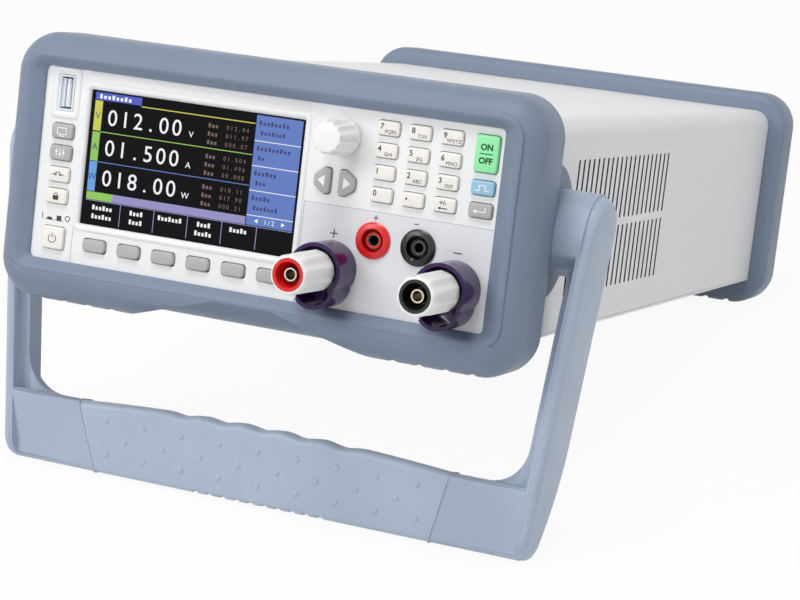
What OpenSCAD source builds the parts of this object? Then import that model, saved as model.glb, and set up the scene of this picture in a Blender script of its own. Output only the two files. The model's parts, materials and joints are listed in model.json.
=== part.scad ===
// Bench DC electronic load: a sheet-metal case held between two moulded bumpers,
// a keypad front panel with binding posts, and a carrying handle turned down as a stand.
// Body coordinates: x right, y back from the panel's face, z up, zero at the panel's centre.
// stand() then tips the body front-up until the handle and the rear feet meet the table at z = 0.

/* [Case] */
// Height of the sheet-metal case
case_h = 88; // [86:1:94]
// Length of the case behind the front panel
case_len = 385; // [370:1:420]
// Thickness of the case's sheet metal
sheet_t = 1.2; // [0.8:0.1:1.6]
// Outer bend radius along the cover's top edges
cover_bend_r = 8; // [4:0.5:10]
// Height of the chassis tray's side flanges
tray_flange_h = 14; // [8:1:20]
// Assembly gap between neighbouring case parts
fit_gap = 0.15; // [0.1:0.05:0.3]

/* [Side vents] */
// Slots in each row
vent_count = 21; // [5:1:24]
// Width of one slot
vent_w = 2; // [1:0.1:3]
// Height of one slot
vent_h = 26.4; // [15:0.2:30]
// Spacing of the slots
vent_pitch = 6.28; // [4:0.02:8]
// First slot behind the panel's face
vent_y = 70.65; // [70:0.05:90]
// Sheet left between the two rows
vent_gap = 3.2; // [2:0.2:6]
// Height of the middle of that sheet
vent_z = -1.2; // [-4:0.2:4]

/* [Bumpers] */
// How far the bumpers stand out at the case's sides
bumper_side = 8.5; // [7:0.5:10]
// How far the bumpers stand out above and below the case
bumper_rise = 9; // [8:0.5:11]
// Outer corner radius in front view
bumper_corner_r = 17; // [14:0.5:20]
// Radius of the rounded nose
bumper_nose_r = 12; // [8:0.5:12]
// Radius of the edge that lies against the case
bumper_heel_r = 4; // [2:0.5:6]
// How far the front lip stands ahead of the panel
front_lip = 4.2; // [3.4:0.1:6]
// How far the front bumper reaches back over the case
front_wrap = 26.5; // [20:0.5:28]
// Depth of the rear bumper
rear_bumper_d = 30; // [26:0.5:34]
// How far the rear bumper reaches forward over the case
rear_wrap = 16; // [12:0.5:18]
// How far the front bumper covers the panel at its sides
opening_in = 6.75; // [5:0.25:8]
// How far it covers the panel above and below
opening_in_z = 4.25; // [3:0.25:5]
// Depth over which the opening's bevel is measured
bevel_d = 3.3; // [3:0.1:4]
// Outward run of the bevel at the sides over that depth
bevel_run_x = 5.1; // [3:0.1:5.5]
// Outward run of the bevel above and below over that depth
bevel_run_z = 2.9; // [2:0.1:3.5]
// Inner end of each foot, from the bumper's side
foot_in = 75; // [66:1:86]
// Length of the ramp at a foot's inner end
foot_ramp = 13; // [8:1:16]
// How far the feet stand below the bumpers' middle
foot_drop = 4; // [2:0.5:5]
// Notches across each foot
foot_notches = 4; // [2:1:4]
// First notch, from the bumper's side
foot_notch_in = 53; // [50:1:56]
// Spacing of the notches
foot_notch_dx = 11.2; // [9:0.2:11.6]

/* [Front panel] */
// Thickness of the moulded panel
panel_t = 3; // [2.5:0.5:4]
// Depth from the panel's face to the key board
board_y = 10; // [9.5:0.1:11]
// Thickness of the circuit boards
board_t = 1.6; // [1.2:0.2:2]
// Width of the display's active area
lcd_w = 95.04; // [90:0.02:98]
// Height of the display's active area
lcd_h = 53.86; // [50:0.02:54]
// Width of the case left of the display's active area
left_column = 28.81; // [28:0.01:32]
// Width of the case right of the display's active area
right_column = 91.15; // [90:0.05:96]
// Display centre, above the panel's centre
lcd_z = 4.57; // [4:0.01:6]
// Border of the window round the active area
window_border = 0.9; // [0.5:0.1:1.5]
// How far the window lies below the panel's face
window_sink = 0.8; // [0.4:0.1:1.2]

/* [Keys] */
// Width of a number key
key_w = 9.2; // [8:0.1:10]
// Height of a number key
key_h = 5.6; // [5:0.1:6.2]
// Corner radius of the keys
key_r = 1.2; // [0.6:0.1:2]
// How far the keys stand out of the panel
key_proud = 1.5; // [1:0.1:2.5]
// Travel of a key
key_travel = 1; // [0.6:0.1:1]
// Clearance of a key in its hole
key_gap = 0.3; // [0.2:0.05:0.4]
// Flange that keeps a key behind the panel
key_lip = 0.8; // [0.6:0.1:1]
// Centre of the first number key, from the case's right side
keypad_in = 54.85; // [54:0.05:56]
// Centre of the first number key, upwards
keypad_z = 33.4; // [32:0.1:34]
// Column spacing of the number keys
keypad_dx = 13.2; // [12.6:0.1:13.4]
// Row spacing of the number keys
keypad_dz = 8.66; // [8.2:0.02:8.8]
// Centre of the right-hand key column, from the right side
side_key_in = 13.7; // [13:0.1:14.2]
// Width of the right-hand keys
side_key_w = 9.6; // [9:0.1:10]
// Height of the tall key in that column
tall_key_h = 14.3; // [12:0.1:14.5]
// Centre of the left-hand key column, from the left side
left_key_in = 17.2; // [16.6:0.1:17.6]
// Highest key of the left-hand column
left_key_z = 13.5; // [12:0.1:14]
// Row spacing of the left-hand keys
left_key_dz = 8.9; // [8.6:0.1:9]
// Width of the left-hand keys
left_key_w = 9.9; // [9:0.1:10.2]
// Height of the left-hand keys
left_key_h = 6; // [5.5:0.1:6.4]
// Height of the soft key row
soft_key_z = -31.1; // [-31.8:0.1:-31]
// Width of a soft key
soft_key_w = 10.4; // [9:0.1:11]
// Height of a soft key
soft_key_h = 5.2; // [4.8:0.1:5.4]
// Middle of the arrow key pair, from the right side
arrow_in = 75.1; // [74.5:0.1:75.5]
// Height of the arrow keys' centres
arrow_z = 9.9; // [9.5:0.1:10.5]
// Width of an arrow key
arrow_w = 7.1; // [6:0.1:7.4]
// Height of an arrow key
arrow_h = 10.2; // [8:0.1:10.6]
// Space between the arrow keys
arrow_space = 3.5; // [2.4:0.1:4]
// Power button centre, from the left side
power_in = 17.4; // [17:0.1:17.8]
// Power button centre, upwards
power_z = -30.4; // [-31:0.1:-29]
// Width of the power button
power_w = 10; // [9:0.1:10.4]
// Height of the power button
power_h = 9.2; // [8:0.1:10]
// Travel of the power button
power_travel = 3; // [2:0.1:3]

/* [Encoder and ports] */
// Encoder knob centre, from the right side
knob_in = 73.5; // [72.5:0.1:74.5]
// Encoder knob centre, upwards
knob_z = 27.8; // [27:0.1:29]
// Radius of the knob at the panel
knob_r = 7.5; // [6.5:0.1:9]
// Radius of the knob's face
knob_face_r = 6.5; // [5:0.1:7]
// Length of the knob
knob_len = 17; // [14:0.5:20]
// Scallops round the knob
knob_scallops = 12; // [8:1:16]
// Radius of the encoder shaft
shaft_r = 3; // [2.5:0.1:3.2]
// Running clearance of turning parts
run_gap = 0.05; // [0.02:0.01:0.08]
// Host port centre, from the left side
port_in = 16.9; // [16.5:0.1:17.5]
// Host port centre, upwards
port_z = 29.1; // [28.5:0.1:30]
// Width of the host port's shell
port_w = 7; // [6.4:0.1:7.4]
// Height of the host port's shell
port_h = 14.5; // [14:0.1:15]

/* [Terminals] */
// Distance between the two binding posts
post_dx = 52.1; // [50:0.1:54]
// Middle of the binding posts, from the right side
post_in = 46.8; // [46:0.1:47.5]
// Height of the binding posts
post_z = -23.8; // [-24.5:0.1:-23]
// Reach of the posts' caps ahead of the panel
post_reach = 39.5; // [36:0.5:44]
// Radius of a post's cap
cap_r = 8.3; // [7.5:0.1:9]
// Length of a post's cap
cap_len = 25; // [22:0.5:26]
// Flutes round a cap
cap_flutes = 10; // [6:1:14]
// Radius of the coloured insert in a cap
insert_r = 6.3; // [5.6:0.1:6.8]
// Radius of the threaded stud
stud_r = 4; // [3.5:0.1:4.2]
// Radius of the 4 mm plug sockets
socket_r = 2; // [1.9:0.05:2.1]
// Depth of the plug sockets
socket_d = 20; // [16:0.5:22]
// Radius of the upper lobe of a post guard
guard_r = 11; // [10.5:0.1:12]
// Radius of its lower lobe
guard_lobe_r = 9.2; // [8.5:0.1:10]
// Drop of the lower lobe
guard_lobe_drop = 6; // [4:0.5:6]
// Length of a post guard
guard_len = 16; // [15:0.5:18]
// Wall of a post guard
guard_wall = 1.5; // [1:0.1:1.8]
// Distance between the two sense jacks
jack_dx = 19; // [18:0.1:20]
// Height of the sense jacks
jack_z = -10.5; // [-11:0.1:-10]
// Radius of a sense jack's flange
jack_r = 7.2; // [6:0.1:7.6]

/* [Handle] */
// Hub axis behind the panel's face
hub_y = 40; // [40:0.5:46]
// Radius of the hubs
hub_r = 17; // [15:0.5:18]
// Radius of the handle's pivot pins
pivot_r = 8; // [6:0.5:9]
// Outer face of an arm at the hub, from the bumper's side
arm_gap = 15.5; // [15:0.5:20]
// Depth of an arm, front to back
arm_w = 31; // [28:0.5:33]
// Thickness of an arm's outer strip
strip_t = 5; // [4:0.5:5.5]
// Thickness of an arm's inner web
web_t = 4; // [3:0.5:4]
// Setback of the web from the strip's front edge
web_set = 6.5; // [4:0.5:9]
// Depth of the web, front to back
web_w = 8.5; // [7:0.5:17]
// Inward lean of the arms, in degrees
arm_lean = 5.1; // [4:0.1:5.1]
// Drop of the handle's toe below the hub
handle_drop = 132; // [128:0.5:140]
// Radius of the handle's toe
toe_r = 10; // [8:0.5:11]
// Height at which the arm's heel starts to curve, below the hub
heel_drop = 84; // [72:1:86]
// Height of the grip bar
grip_h = 31; // [28:0.5:33]
// Depth of the grip bar, front to back
grip_d = 13; // [11:0.5:15]
// Fall of the grip bar's top, front to back
grip_fall = 2; // [1.6:0.1:3]
// Setback of the strip's inner back edge
strip_chamfer = 8; // [4:0.5:9]
// Rise of the soft grip above the bar's ends
grip_crown = 3.5; // [2:0.5:4]
// Half length of the soft grip at its top
grip_half = 85; // [70:1:92]
// Lean of the grip's seams, top to bottom
seam_lean = 8; // [4:1:12]
// Radius of the gussets between arms and grip
gusset_r = 18; // [12:1:18]
// Spacing of the finger waves
wave_pitch = 18; // [14:1:20]
// Height of the finger waves
wave_h = 1.2; // [0.5:0.1:2]

/* [Inside and rear] */
// Side of the square cooling fan
fan_size = 80; // [70:1:80]
// Depth of the fan
fan_d = 25; // [20:1:28]
// Fan centre, from the right side
fan_in = 55.5; // [53.5:0.5:57.5]
// Blades of the fan
fan_blades = 7; // [5:1:9]
// Fins of the heat sink
fin_count = 9; // [6:1:10]
// Length of the heat sink
sink_len = 190; // [150:5:200]
// Mains inlet centre, from the left side
inlet_in = 41.5; // [39.5:0.5:45.5]
// Serial port centre, from the left side
serial_in = 91.5; // [89.5:0.5:93.5]
// Height of the mains inlet and the serial port
rear_port_z = 12; // [8:1:14]
// Height of the stand-offs under the power board
standoff_h = 8; // [6:1:12]

/* [Hidden] */
$fn = 64;
slack = 0.01;

// Places that follow the case's sides
case_w = left_column + lcd_w + right_column;
half_w = case_w / 2;
lcd_x = left_column + lcd_w / 2 - half_w;
keypad_x = half_w - keypad_in;
side_key_x = half_w - side_key_in;
left_key_x = left_key_in - half_w;
arrow_x = half_w - arrow_in;
power_x = power_in - half_w;
knob_x = half_w - knob_in;
port_x = port_in - half_w;
post_x = half_w - post_in;
fan_x = half_w - fan_in;
inlet_x = inlet_in - half_w;
serial_x = serial_in - half_w;
bumper_w = case_w + 2 * bumper_side;
bumper_h = case_h + 2 * bumper_rise;
opening_w = case_w - 2 * opening_in;
opening_h = case_h - 2 * opening_in_z;
arm_x = bumper_w / 2 + arm_gap;

KEYPAD = [["key_7", "key_8", "key_9"], ["key_4", "key_5", "key_6"],
          ["key_1", "key_2", "key_3"], ["key_0", "key_dot", "key_sign"]];
LEFT_KEYS = ["key_display", "key_setup", "key_short", "key_lock"];

ivory = "#f1ece6";
key_grey = "#9b9c9b";
soft_dx = lcd_w / 6;
// Each row: name, x, z, width, height, colour
KEYS = concat(
    [for (r = [0:3], c = [0:2])
        [KEYPAD[r][c], keypad_x + c * keypad_dx, keypad_z - r * keypad_dz, key_w, key_h, ivory]],
    [["key_on_off", side_key_x, keypad_z - keypad_dz / 2, side_key_w, tall_key_h, "#8fe39a"],
     ["key_trigger", side_key_x, keypad_z - 2 * keypad_dz, side_key_w, key_h, "#86bfe6"],
     ["key_enter", side_key_x, keypad_z - 3 * keypad_dz, side_key_w, key_h, key_grey]],
    [for (i = [0:3])
        [LEFT_KEYS[i], left_key_x, left_key_z - i * left_key_dz, left_key_w, left_key_h,
         i < 2 ? key_grey : ivory]],
    [for (i = [0:5])
        [str("soft_key_", i + 1), lcd_x + (i - 2.5) * soft_dx, soft_key_z, soft_key_w, soft_key_h, key_grey]]);

// Case
case_y0 = panel_t;
case_y1 = panel_t + case_len;
floor_z = -case_h / 2 + sheet_t;
inner_w = case_w - 2 * sheet_t - 2 * fit_gap;
cover_z0 = floor_z + fit_gap;
rear_t = 1.5;
rear_y = case_y1 - 0.2 - rear_t;
lug = 8;
screw_r = 1.4;
screw_hole_r = 1.6;
screw_head_r = 2.9;
screw_head_h = 2;
rear_screw_x = case_w / 2 - sheet_t - lug / 2 - cover_bend_r / 2;
rear_screw_z = case_h / 2 - sheet_t - lug / 2;

// Bumpers
bumper_cx = bumper_w / 2 - bumper_corner_r;
bumper_cz = bumper_h / 2 - bumper_corner_r;
rear_bumper_y0 = case_y1 - rear_wrap;
rear_bumper_y1 = rear_bumper_y0 + rear_bumper_d;
foot_z = -bumper_h / 2 - foot_drop;
foot_x0 = bumper_w / 2 - foot_in;
foot_notch_x = bumper_w / 2 - foot_notch_in;
notch_r = 2.2;
notch_d = 1.8;
tab_r = 27;
tab_y = hub_y - 8;
tab_t = 3.4;
hub_clear = 0.4;

// Handle
splay = arm_lean;
tab_x = case_w / 2 + fit_gap + tab_t;
hub_gap = 0.3;
arm_front = hub_y - arm_w / 2;
arm_back = hub_y + arm_w / 2;
toe_y = arm_front + toe_r;
toe_z = -handle_drop + toe_r;
heel_r = (pow(arm_back - toe_y, 2) + pow(toe_z + heel_drop, 2) - pow(toe_r, 2))
    / (2 * (arm_back - toe_y - toe_r));
heel_c = [arm_back - heel_r, -heel_drop];
toe_c = [toe_y, toe_z];
grip_z0 = -handle_drop + 1;
grip_z1 = grip_z0 + grip_h;
grip_set = 5.4;
grip_run = grip_d - 1;
groove_dx = 6.4;
groove_r = 1.6;
groove_d = 1.3;

// Stance: the line under the toe and the rear feet becomes the table
rear_foot_y = rear_bumper_y1 - bumper_nose_r;
rear_foot_z = foot_z + bumper_nose_r;
stance = [rear_foot_y - toe_y, rear_foot_z - toe_z];
tilt = atan2(stance.y, stance.x) + asin((toe_r - bumper_nose_r) / norm(stance));
lift = toe_r - toe_z * cos(tilt) + toe_y * sin(tilt);
cap_edge = 1;
front_reach = -post_reach * cos(tilt) + (post_z - cap_r + cap_edge) * sin(tilt);
back_reach = (rear_bumper_y1 - bumper_nose_r) * cos(tilt)
    + (bumper_h / 2 - bumper_nose_r) * sin(tilt) + bumper_nose_r;

// Front panel
key_back = board_y - 0.7 - key_travel - 0.1;
flange_t = 1.2;
flange_y = panel_t + 0.25;
pad_h = 0.7;
window_w = lcd_w + 2 * window_border;
window_h = lcd_h + 2 * window_border;
module_w = lcd_w + 9.4;
module_h = lcd_h + 9.1;
module_d = 5;
boss_r = 2.2;
BOSSES = [[lcd_x - 43.83, case_h / 2 - 4], [lcd_x + 46.17, case_h / 2 - 4], [half_w - 5.5, case_h / 2 - 8],
          [half_w - 5.5, case_h / 2 - 32], [9.5 - half_w, 3.4 - case_h / 2], [lcd_x + 43.17, 4.8 - case_h / 2]];
board_cut_x = lcd_x + lcd_w / 2 + 2.65;
board_cut_z = 1.5;
switch_w = 8.6;
switch_flange = 11;
switch_y = board_y - 1.5;

// Terminals
POSTS = [post_x - post_dx / 2, post_x + post_dx / 2];
JACKS = [post_x - jack_dx / 2, post_x + jack_dx / 2];
cap_s0 = post_reach - cap_len;
insert_len = 12.5;
insert_s0 = post_reach - insert_len;
insert_floor = 3;
stud_len = insert_s0 - 3;
tube_r = socket_r + 0.6;
tube_len = post_reach - 2.5;
stud_back = 16;
jack_proud = 1.5;
jack_back = 24;
sleeve_wall = 0.5;

// Inside
inlet_w = 30;
inlet_h = 22.5;
inlet_depth = 24;
cavity_d = 16;
cavity_wall = 2.5;
inlet_plate = [50, 27];
serial_w = 19;
serial_h = 10.5;
serial_depth = 9;
hub_fan_r = 15;
fan_bore_r = fan_size / 2 - 2;
fan_y0 = rear_y - fan_d;
sink_y1 = fan_y0 - 6;
sink_y0 = sink_y1 - sink_len;
sink_x0 = fan_x - fan_size / 2 - 4;
sink_w = fan_size + 6;
sink_base = 6;
fin_t = 2;
fin_pitch = 7.4;
blade_t = 1.6;
blade_chord = fan_d - 3;
coil_ring_r = 21;
coil_r = 12;
can_r = 9;
can_h = 32;
board_z = floor_z + standoff_h;
pcb_x0 = 9.5 - half_w;
pcb_x1 = sink_x0 - 12;
pcb_y1 = fan_y0 - 31.3;
pcb_y0 = pcb_y1 - 180;
STANDOFFS = [for (x = [pcb_x0 + 6, pcb_x1 - 6], y = [pcb_y0 + 6, pcb_y1 - 6]) [x, y]];

// Points of the arc that rounds corner b between a and c
function fillet(a, b, c, r, n = 6) =
    let (u = (a - b) / norm(a - b), v = (c - b) / norm(c - b), half = acos(u * v) / 2,
         o = b + (u + v) / norm(u + v) * (r / sin(half)),
         s = b + u * (r / tan(half)) - o, e = b + v * (r / tan(half)) - o,
         a0 = atan2(s.y, s.x), turn = (atan2(e.y, e.x) - a0 + 540) % 360 - 180)
    [for (i = [0:n]) o + r * [cos(a0 + turn * i / n), sin(a0 + turn * i / n)]];

// An outline with the corners rounded to the radii in rs, sharp where the radius is 0
function rounded(pts, rs) =
    [for (i = [0:len(pts) - 1]) let (n = len(pts))
        each rs[i] > 0 ? fillet(pts[(i + n - 1) % n], pts[i], pts[(i + 1) % n], rs[i]) : [pts[i]]];

// Points of a circle from angle a0 to a1
function arc(c, r, a0, a1, n) =
    [for (i = [0:n]) c + r * [cos(a0 + (a1 - a0) * i / n), sin(a0 + (a1 - a0) * i / n)]];

// The whole object tipped on its handle, with the table at z = 0
module stand()
    translate([0, -(front_reach + back_reach) / 2, lift]) rotate([-tilt, 0, 0]) children();

// A front-view outline (x, z) extruded from y0 back to y1
module plate(y0, y1) translate([0, y1, 0]) rotate([90, 0, 0]) linear_extrude(y1 - y0) children();

// A side-view outline (y, z) extruded from x0 to x1
module side_plate(x0, x1) translate([x0, 0, 0]) rotate([90, 0, 90]) linear_extrude(x1 - x0) children();

// A round bar along y at (x, z)
module rod_y(x, z, r, y0, y1) translate([x, y1, z]) rotate([90, 0, 0]) cylinder(r = r, h = y1 - y0);

// A round bar along x at (y, z)
module rod_x(y, z, r, x0, x1) translate([x0, y, z]) rotate([0, 90, 0]) cylinder(r = r, h = x1 - x0);

// A turned shape about y at (x, z): its profile is (radius, distance ahead of the panel)
module turned(x, z) translate([x, 0, z]) rotate([90, 0, 0]) rotate_extrude() children();

// A box given by its two corners
module block(lo, hi) translate(lo) cube(hi - lo);

module rounded_rect(w, h, r) {
    square([w - 2 * r, h], center = true);
    square([w, h - 2 * r], center = true);
    for (x = [-1, 1], z = [-1, 1])
        translate([x * (w / 2 - r), z * (h / 2 - r)]) circle(r = r);
}

// The case in front view, grown outwards by g: bent edges on top, square ones below
module case_outline(g) {
    w = case_w + 2 * g;
    z0 = -case_h / 2 - g;
    r = cover_bend_r + g;
    translate([-w / 2, z0]) square([w, case_h + 2 * g - r]);
    translate([-w / 2 + r, z0]) square([w - 2 * r, case_h + 2 * g]);
    for (s = [-1, 1])
        translate([s * (w / 2 - r), case_h / 2 + g - r]) circle(r = r);
}

// A profile (distance out, y) swept round a rectangle with rounded corners, and filled inside
module swept_block(cx, cz, y0, y1) {
    for (q = [0:3])
        translate([q == 0 || q == 3 ? cx : -cx, 0, q < 2 ? -cz : cz]) rotate([-90, 90 * q, 0])
            rotate_extrude(angle = 90) children();
    for (m = [0, 1])
        mirror([m, 0, 0]) translate([cx, 0, -cz]) linear_extrude(2 * cz) children();
    for (m = [0, 1])
        mirror([0, 0, m]) translate([cx, 0, cz]) rotate([0, -90, 0]) linear_extrude(2 * cx) children();
    block([-cx, y0, -cz], [cx, y1, cz]);
}

// Bumper section: round nose at y = 0, square heel with a rounded edge at y = depth
module bumper_section(depth) {
    out = bumper_corner_r;
    n = bumper_nose_r;
    h = bumper_heel_r;
    polygon(concat([[0, 0]], arc([out - n, n], n, -90, 0, 16), arc([out - h, depth - h], h, 0, 90, 6),
        [[0, depth]]));
}

// Flared opening from the panel at y = 0 forward by reach: its four sides are flat
module opening_flare(reach) {
    x0 = opening_w / 2;
    z0 = opening_h / 2;
    x1 = x0 + bevel_run_x / bevel_d * reach;
    z1 = z0 + bevel_run_z / bevel_d * reach;
    intersection() {
        translate([0, 0, -bumper_h]) linear_extrude(2 * bumper_h)
            polygon([[-x0, 0], [-x1, -reach], [x1, -reach], [x0, 0]]);
        side_plate(-bumper_w, bumper_w) polygon([[0, -z0], [-reach, -z1], [-reach, z1], [0, z0]]);
    }
    plate(-slack, 1) square([opening_w, opening_h], center = true);
}

// Space between the two feet: what lies below the plain bumper section, ending in ramps
module foot_relief(depth) {
    rise = (foot_x0 + foot_ramp) * foot_drop / foot_ramp;
    reach = foot_x0 + foot_ramp + foot_ramp / foot_drop;
    intersection() {
        side_plate(-bumper_w / 2, bumper_w / 2) difference() {
            translate([-1, foot_z - 1]) square([depth + 2, bumper_corner_r + foot_drop + 0.5]);
            translate([0, -bumper_cz]) rotate(-90) bumper_section(depth);
        }
        plate(-1, depth + 1) polygon([[-reach, foot_z - 1], [reach, foot_z - 1], [0, foot_z + rise]]);
    }
}

// Round-nosed bumper with its nose at y = 0 and feet below, cut out for the case behind the panel
module bumper_body(depth, lip) {
    difference() {
        translate([0, 0, -foot_drop / 2])
            swept_block(bumper_cx, bumper_cz + foot_drop / 2, 0, depth) bumper_section(depth);
        foot_relief(depth);
        translate([0, lip, 0]) children();
        plate(lip, depth + 1) case_outline(fit_gap);
        for (s = [-1, 1], i = [0:foot_notches - 1])
            rod_y(s * (foot_notch_x + i * foot_notch_dx), foot_z + notch_d - notch_r, notch_r, -1, depth + 1);
    }
}

module front_bumper() stand() color("#97a5b6") difference() {
    union() {
        translate([0, -front_lip, 0]) bumper_body(front_lip + front_wrap, front_lip)
            opening_flare(front_lip + 1);
        for (m = [0, 1])
            mirror([m, 0, 0]) rod_x(tab_y, 0, tab_r, case_w / 2 + fit_gap, tab_x);
    }
    rod_x(hub_y, 0, pivot_r + run_gap, -tab_x - 1, tab_x + 1);
    // Pockets in which the handle's hubs turn
    for (m = [0, 1])
        mirror([m, 0, 0]) rod_x(hub_y, 0, hub_r + hub_clear, tab_x, bumper_w / 2 + 1);
}

module rear_bumper() stand() color("#97a5b6")
    translate([0, rear_bumper_y1, 0]) mirror([0, 1, 0])
        bumper_body(rear_bumper_d, rear_bumper_d - rear_wrap) {
            x0 = opening_w / 2;
            z0 = opening_h / 2;
            translate([0, -rear_bumper_d, 0]) plate(0, rear_bumper_d + 1) square([2 * x0, 2 * z0], center = true);
            // Room for the heads of the rear panel's screws
            for (sx = [-1, 1], sz = [-1, 1])
                rod_y(sx * rear_screw_x, sz * rear_screw_z, screw_head_r + 0.6, -rear_bumper_d, 1);
        }

// Bent cover section: the case outline less the sheet's inside, open below
module cover_section() {
    difference() {
        case_outline(0);
        case_outline(-sheet_t);
        translate([-case_w, -case_h]) square([2 * case_w, case_h + cover_z0]);
    }
}

module top_cover() stand() color("#dcdad6") {
    difference() {
        plate(case_y0, case_y1) cover_section();
        for (s = [-1, 1], i = [0:vent_count - 1], row = [-1, 1])
            translate([s * case_w / 2, vent_y + i * vent_pitch, vent_z + row * (vent_h + vent_gap) / 2])
                cube([4 * sheet_t, vent_w, vent_h], center = true);
        rod_x(hub_y, 0, pivot_r + fit_gap, -case_w, case_w);
    }
    // Lugs that take the upper screws of the rear panel
    for (s = [-1, 1])
        difference() {
            block([s * rear_screw_x - lug / 2, rear_y - lug, rear_screw_z - lug / 2],
                [s * rear_screw_x + lug / 2, rear_y, case_h / 2 - sheet_t]);
            rod_y(s * rear_screw_x, rear_screw_z, screw_hole_r, rear_y - lug - 1, rear_y + 1);
        }
}

module bottom_chassis() stand() color("#c9c8c5") difference() {
    union() {
        block([-case_w / 2, case_y0, -case_h / 2], [case_w / 2, case_y1, floor_z]);
        for (m = [0, 1])
            mirror([m, 0, 0]) block([inner_w / 2 - sheet_t, case_y0, -case_h / 2],
                [inner_w / 2, rear_y - fit_gap, floor_z + tray_flange_h]);
        // Rear flange behind which the rear panel is screwed
        block([-rear_screw_x - lug, rear_y - sheet_t, -case_h / 2], [fan_x - fan_size / 2 - 1, rear_y,
            floor_z + tray_flange_h]);
        for (p = STANDOFFS)
            translate([p.x, p.y, floor_z - slack]) cylinder(r = 3, h = standoff_h + slack);
    }
    for (p = STANDOFFS)
        translate([p.x, p.y, -case_h / 2 - 1]) cylinder(r = screw_hole_r, h = standoff_h);
    for (s = [-1, 1])
        rod_y(s * rear_screw_x, -rear_screw_z, screw_hole_r, rear_y - lug, rear_y + 1);
}

// Front view of one key, grown outwards by g
module key_outline(k, g) translate([k[1], k[2]]) rounded_rect(k[3] + 2 * g, k[4] + 2 * g, key_r + g);

// Arrow key outline: flat inner side, pointed and rounded outer side; s is -1 for left, 1 for right
module arrow_outline(s, g) {
    flat = arrow_x + s * (arrow_space / 2 - g);
    tip = arrow_x + s * (arrow_space / 2 + arrow_w + g);
    half = arrow_h / 2 + g;
    shoulder = flat + s * arrow_w * 0.45;
    pts = [[flat, arrow_z - half], [shoulder, arrow_z - half], [tip, arrow_z - half * 0.42],
        [tip, arrow_z + half * 0.42], [shoulder, arrow_z + half], [flat, arrow_z + half]];
    polygon(rounded(pts, [1.4, 2, 2, 2, 2, 1.4]));
}

module power_outline(g) translate([power_x, power_z]) rounded_rect(power_w + 2 * g, power_h + 2 * g, key_r + g);

// Key body: the cap through the panel, a flange behind the panel and a stem to the board
module key_body(back) {
    plate(-key_proud, flange_y + slack) children(0);
    plate(flange_y, flange_y + flange_t) children(1);
    plate(flange_y + flange_t - slack, back) children(2);
}

module key(k) stand() color(k[5]) key_body(key_back) {
    key_outline(k, 0);
    key_outline(k, key_lip);
    translate([k[1], k[2]]) circle(r = 1.6);
}

module arrow_key(s) stand() color(key_grey) key_body(key_back) {
    arrow_outline(s, 0);
    arrow_outline(s, key_lip);
    translate([arrow_x + s * (arrow_space + arrow_w) / 2, arrow_z]) circle(r = 1.6);
}

module key_left() arrow_key(-1);

module key_right() arrow_key(1);

module power_button() stand() color("#eae4d6") key_body(switch_y - power_travel - 0.2) {
    power_outline(0);
    power_outline(key_lip);
    translate([power_x, power_z]) circle(r = 2);
}

module window_outline(g) translate([lcd_x, lcd_z]) square([window_w + 2 * g, window_h + 2 * g], center = true);

module front_panel() stand() color("#efeeec") {
    difference() {
        plate(0, panel_t) case_outline(-fit_gap);
        plate(-1, panel_t + 1) {
            window_outline(fit_gap);
            for (k = KEYS) key_outline(k, key_gap);
            for (s = [-1, 1]) arrow_outline(s, key_gap);
            power_outline(key_gap);
            translate([port_x, port_z]) rounded_rect(port_w + 2 * fit_gap, port_h + 2 * fit_gap, 0.6);
        }
        rod_y(knob_x, knob_z, shaft_r + 0.5 + fit_gap, -1, panel_t + 1);
        for (x = JACKS) rod_y(x, jack_z, jack_r - 1.2 + fit_gap, -1, panel_t + 1);
        for (x = POSTS) rod_y(x, post_z, stud_r + fit_gap, -1, panel_t + 1);
    }
    for (b = BOSSES) rod_y(b.x, b.y, boss_r, panel_t - slack, board_y);
}

module display_window() stand() color([0.04, 0.04, 0.05]) plate(window_sink, panel_t) window_outline(0);

module display_module() stand() color("#30343a") {
    plate(panel_t, panel_t + module_d)
        translate([lcd_x, lcd_z]) square([module_w, module_h], center = true);
    for (sx = [-1, 1], sz = [-1, 1])
        rod_y(lcd_x + sx * (module_w / 2 - 4), lcd_z + sz * (module_h / 2 - 4), 2, panel_t + module_d - slack, board_y);
}

module front_board() stand() color("#2f6b46") {
    plate(board_y, board_y + board_t) difference() {
        rounded_rect(case_w - 8, case_h - 3, cover_bend_r);
        translate([board_cut_x, -case_h]) square([case_w, case_h + board_cut_z]);
        translate([power_x, power_z]) square(switch_w + 0.4, center = true);
    }
    for (k = KEYS) rod_y(k[1], k[2], 2, board_y - pad_h, board_y + slack);
    for (s = [-1, 1])
        rod_y(arrow_x + s * (arrow_space + arrow_w) / 2, arrow_z, 2, board_y - pad_h, board_y + slack);
}

module encoder() stand() color("#b9bcc0") {
    plate(panel_t + 1, board_y) translate([knob_x, knob_z]) square(12, center = true);
    rod_y(knob_x, knob_z, shaft_r + 0.5, -4, panel_t + 1 + slack);
    rod_y(knob_x, knob_z, shaft_r, -knob_len + 4, 0);
}

module encoder_knob() stand() color("#f4f3f1") difference() {
    turned(knob_x, knob_z) polygon(concat([[0, 0.6], [knob_r, 0.6], [knob_r, 3]],
        fillet([knob_r, 3], [knob_face_r, knob_len], [0, knob_len], 1.2), [[0, knob_len]]));
    rod_y(knob_x, knob_z, shaft_r + run_gap, -knob_len + 3.5, 1);
    rod_y(knob_x, knob_z, shaft_r + 2, -5, 1);
    for (i = [0:knob_scallops - 1])
        translate([knob_x, 0, knob_z]) rotate([0, (i + 0.5) * 360 / knob_scallops, 0])
            translate([knob_r + 4.6, 0, 0]) rod_y(0, 0, 5.2, -knob_len - 1, -3);
}

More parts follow.
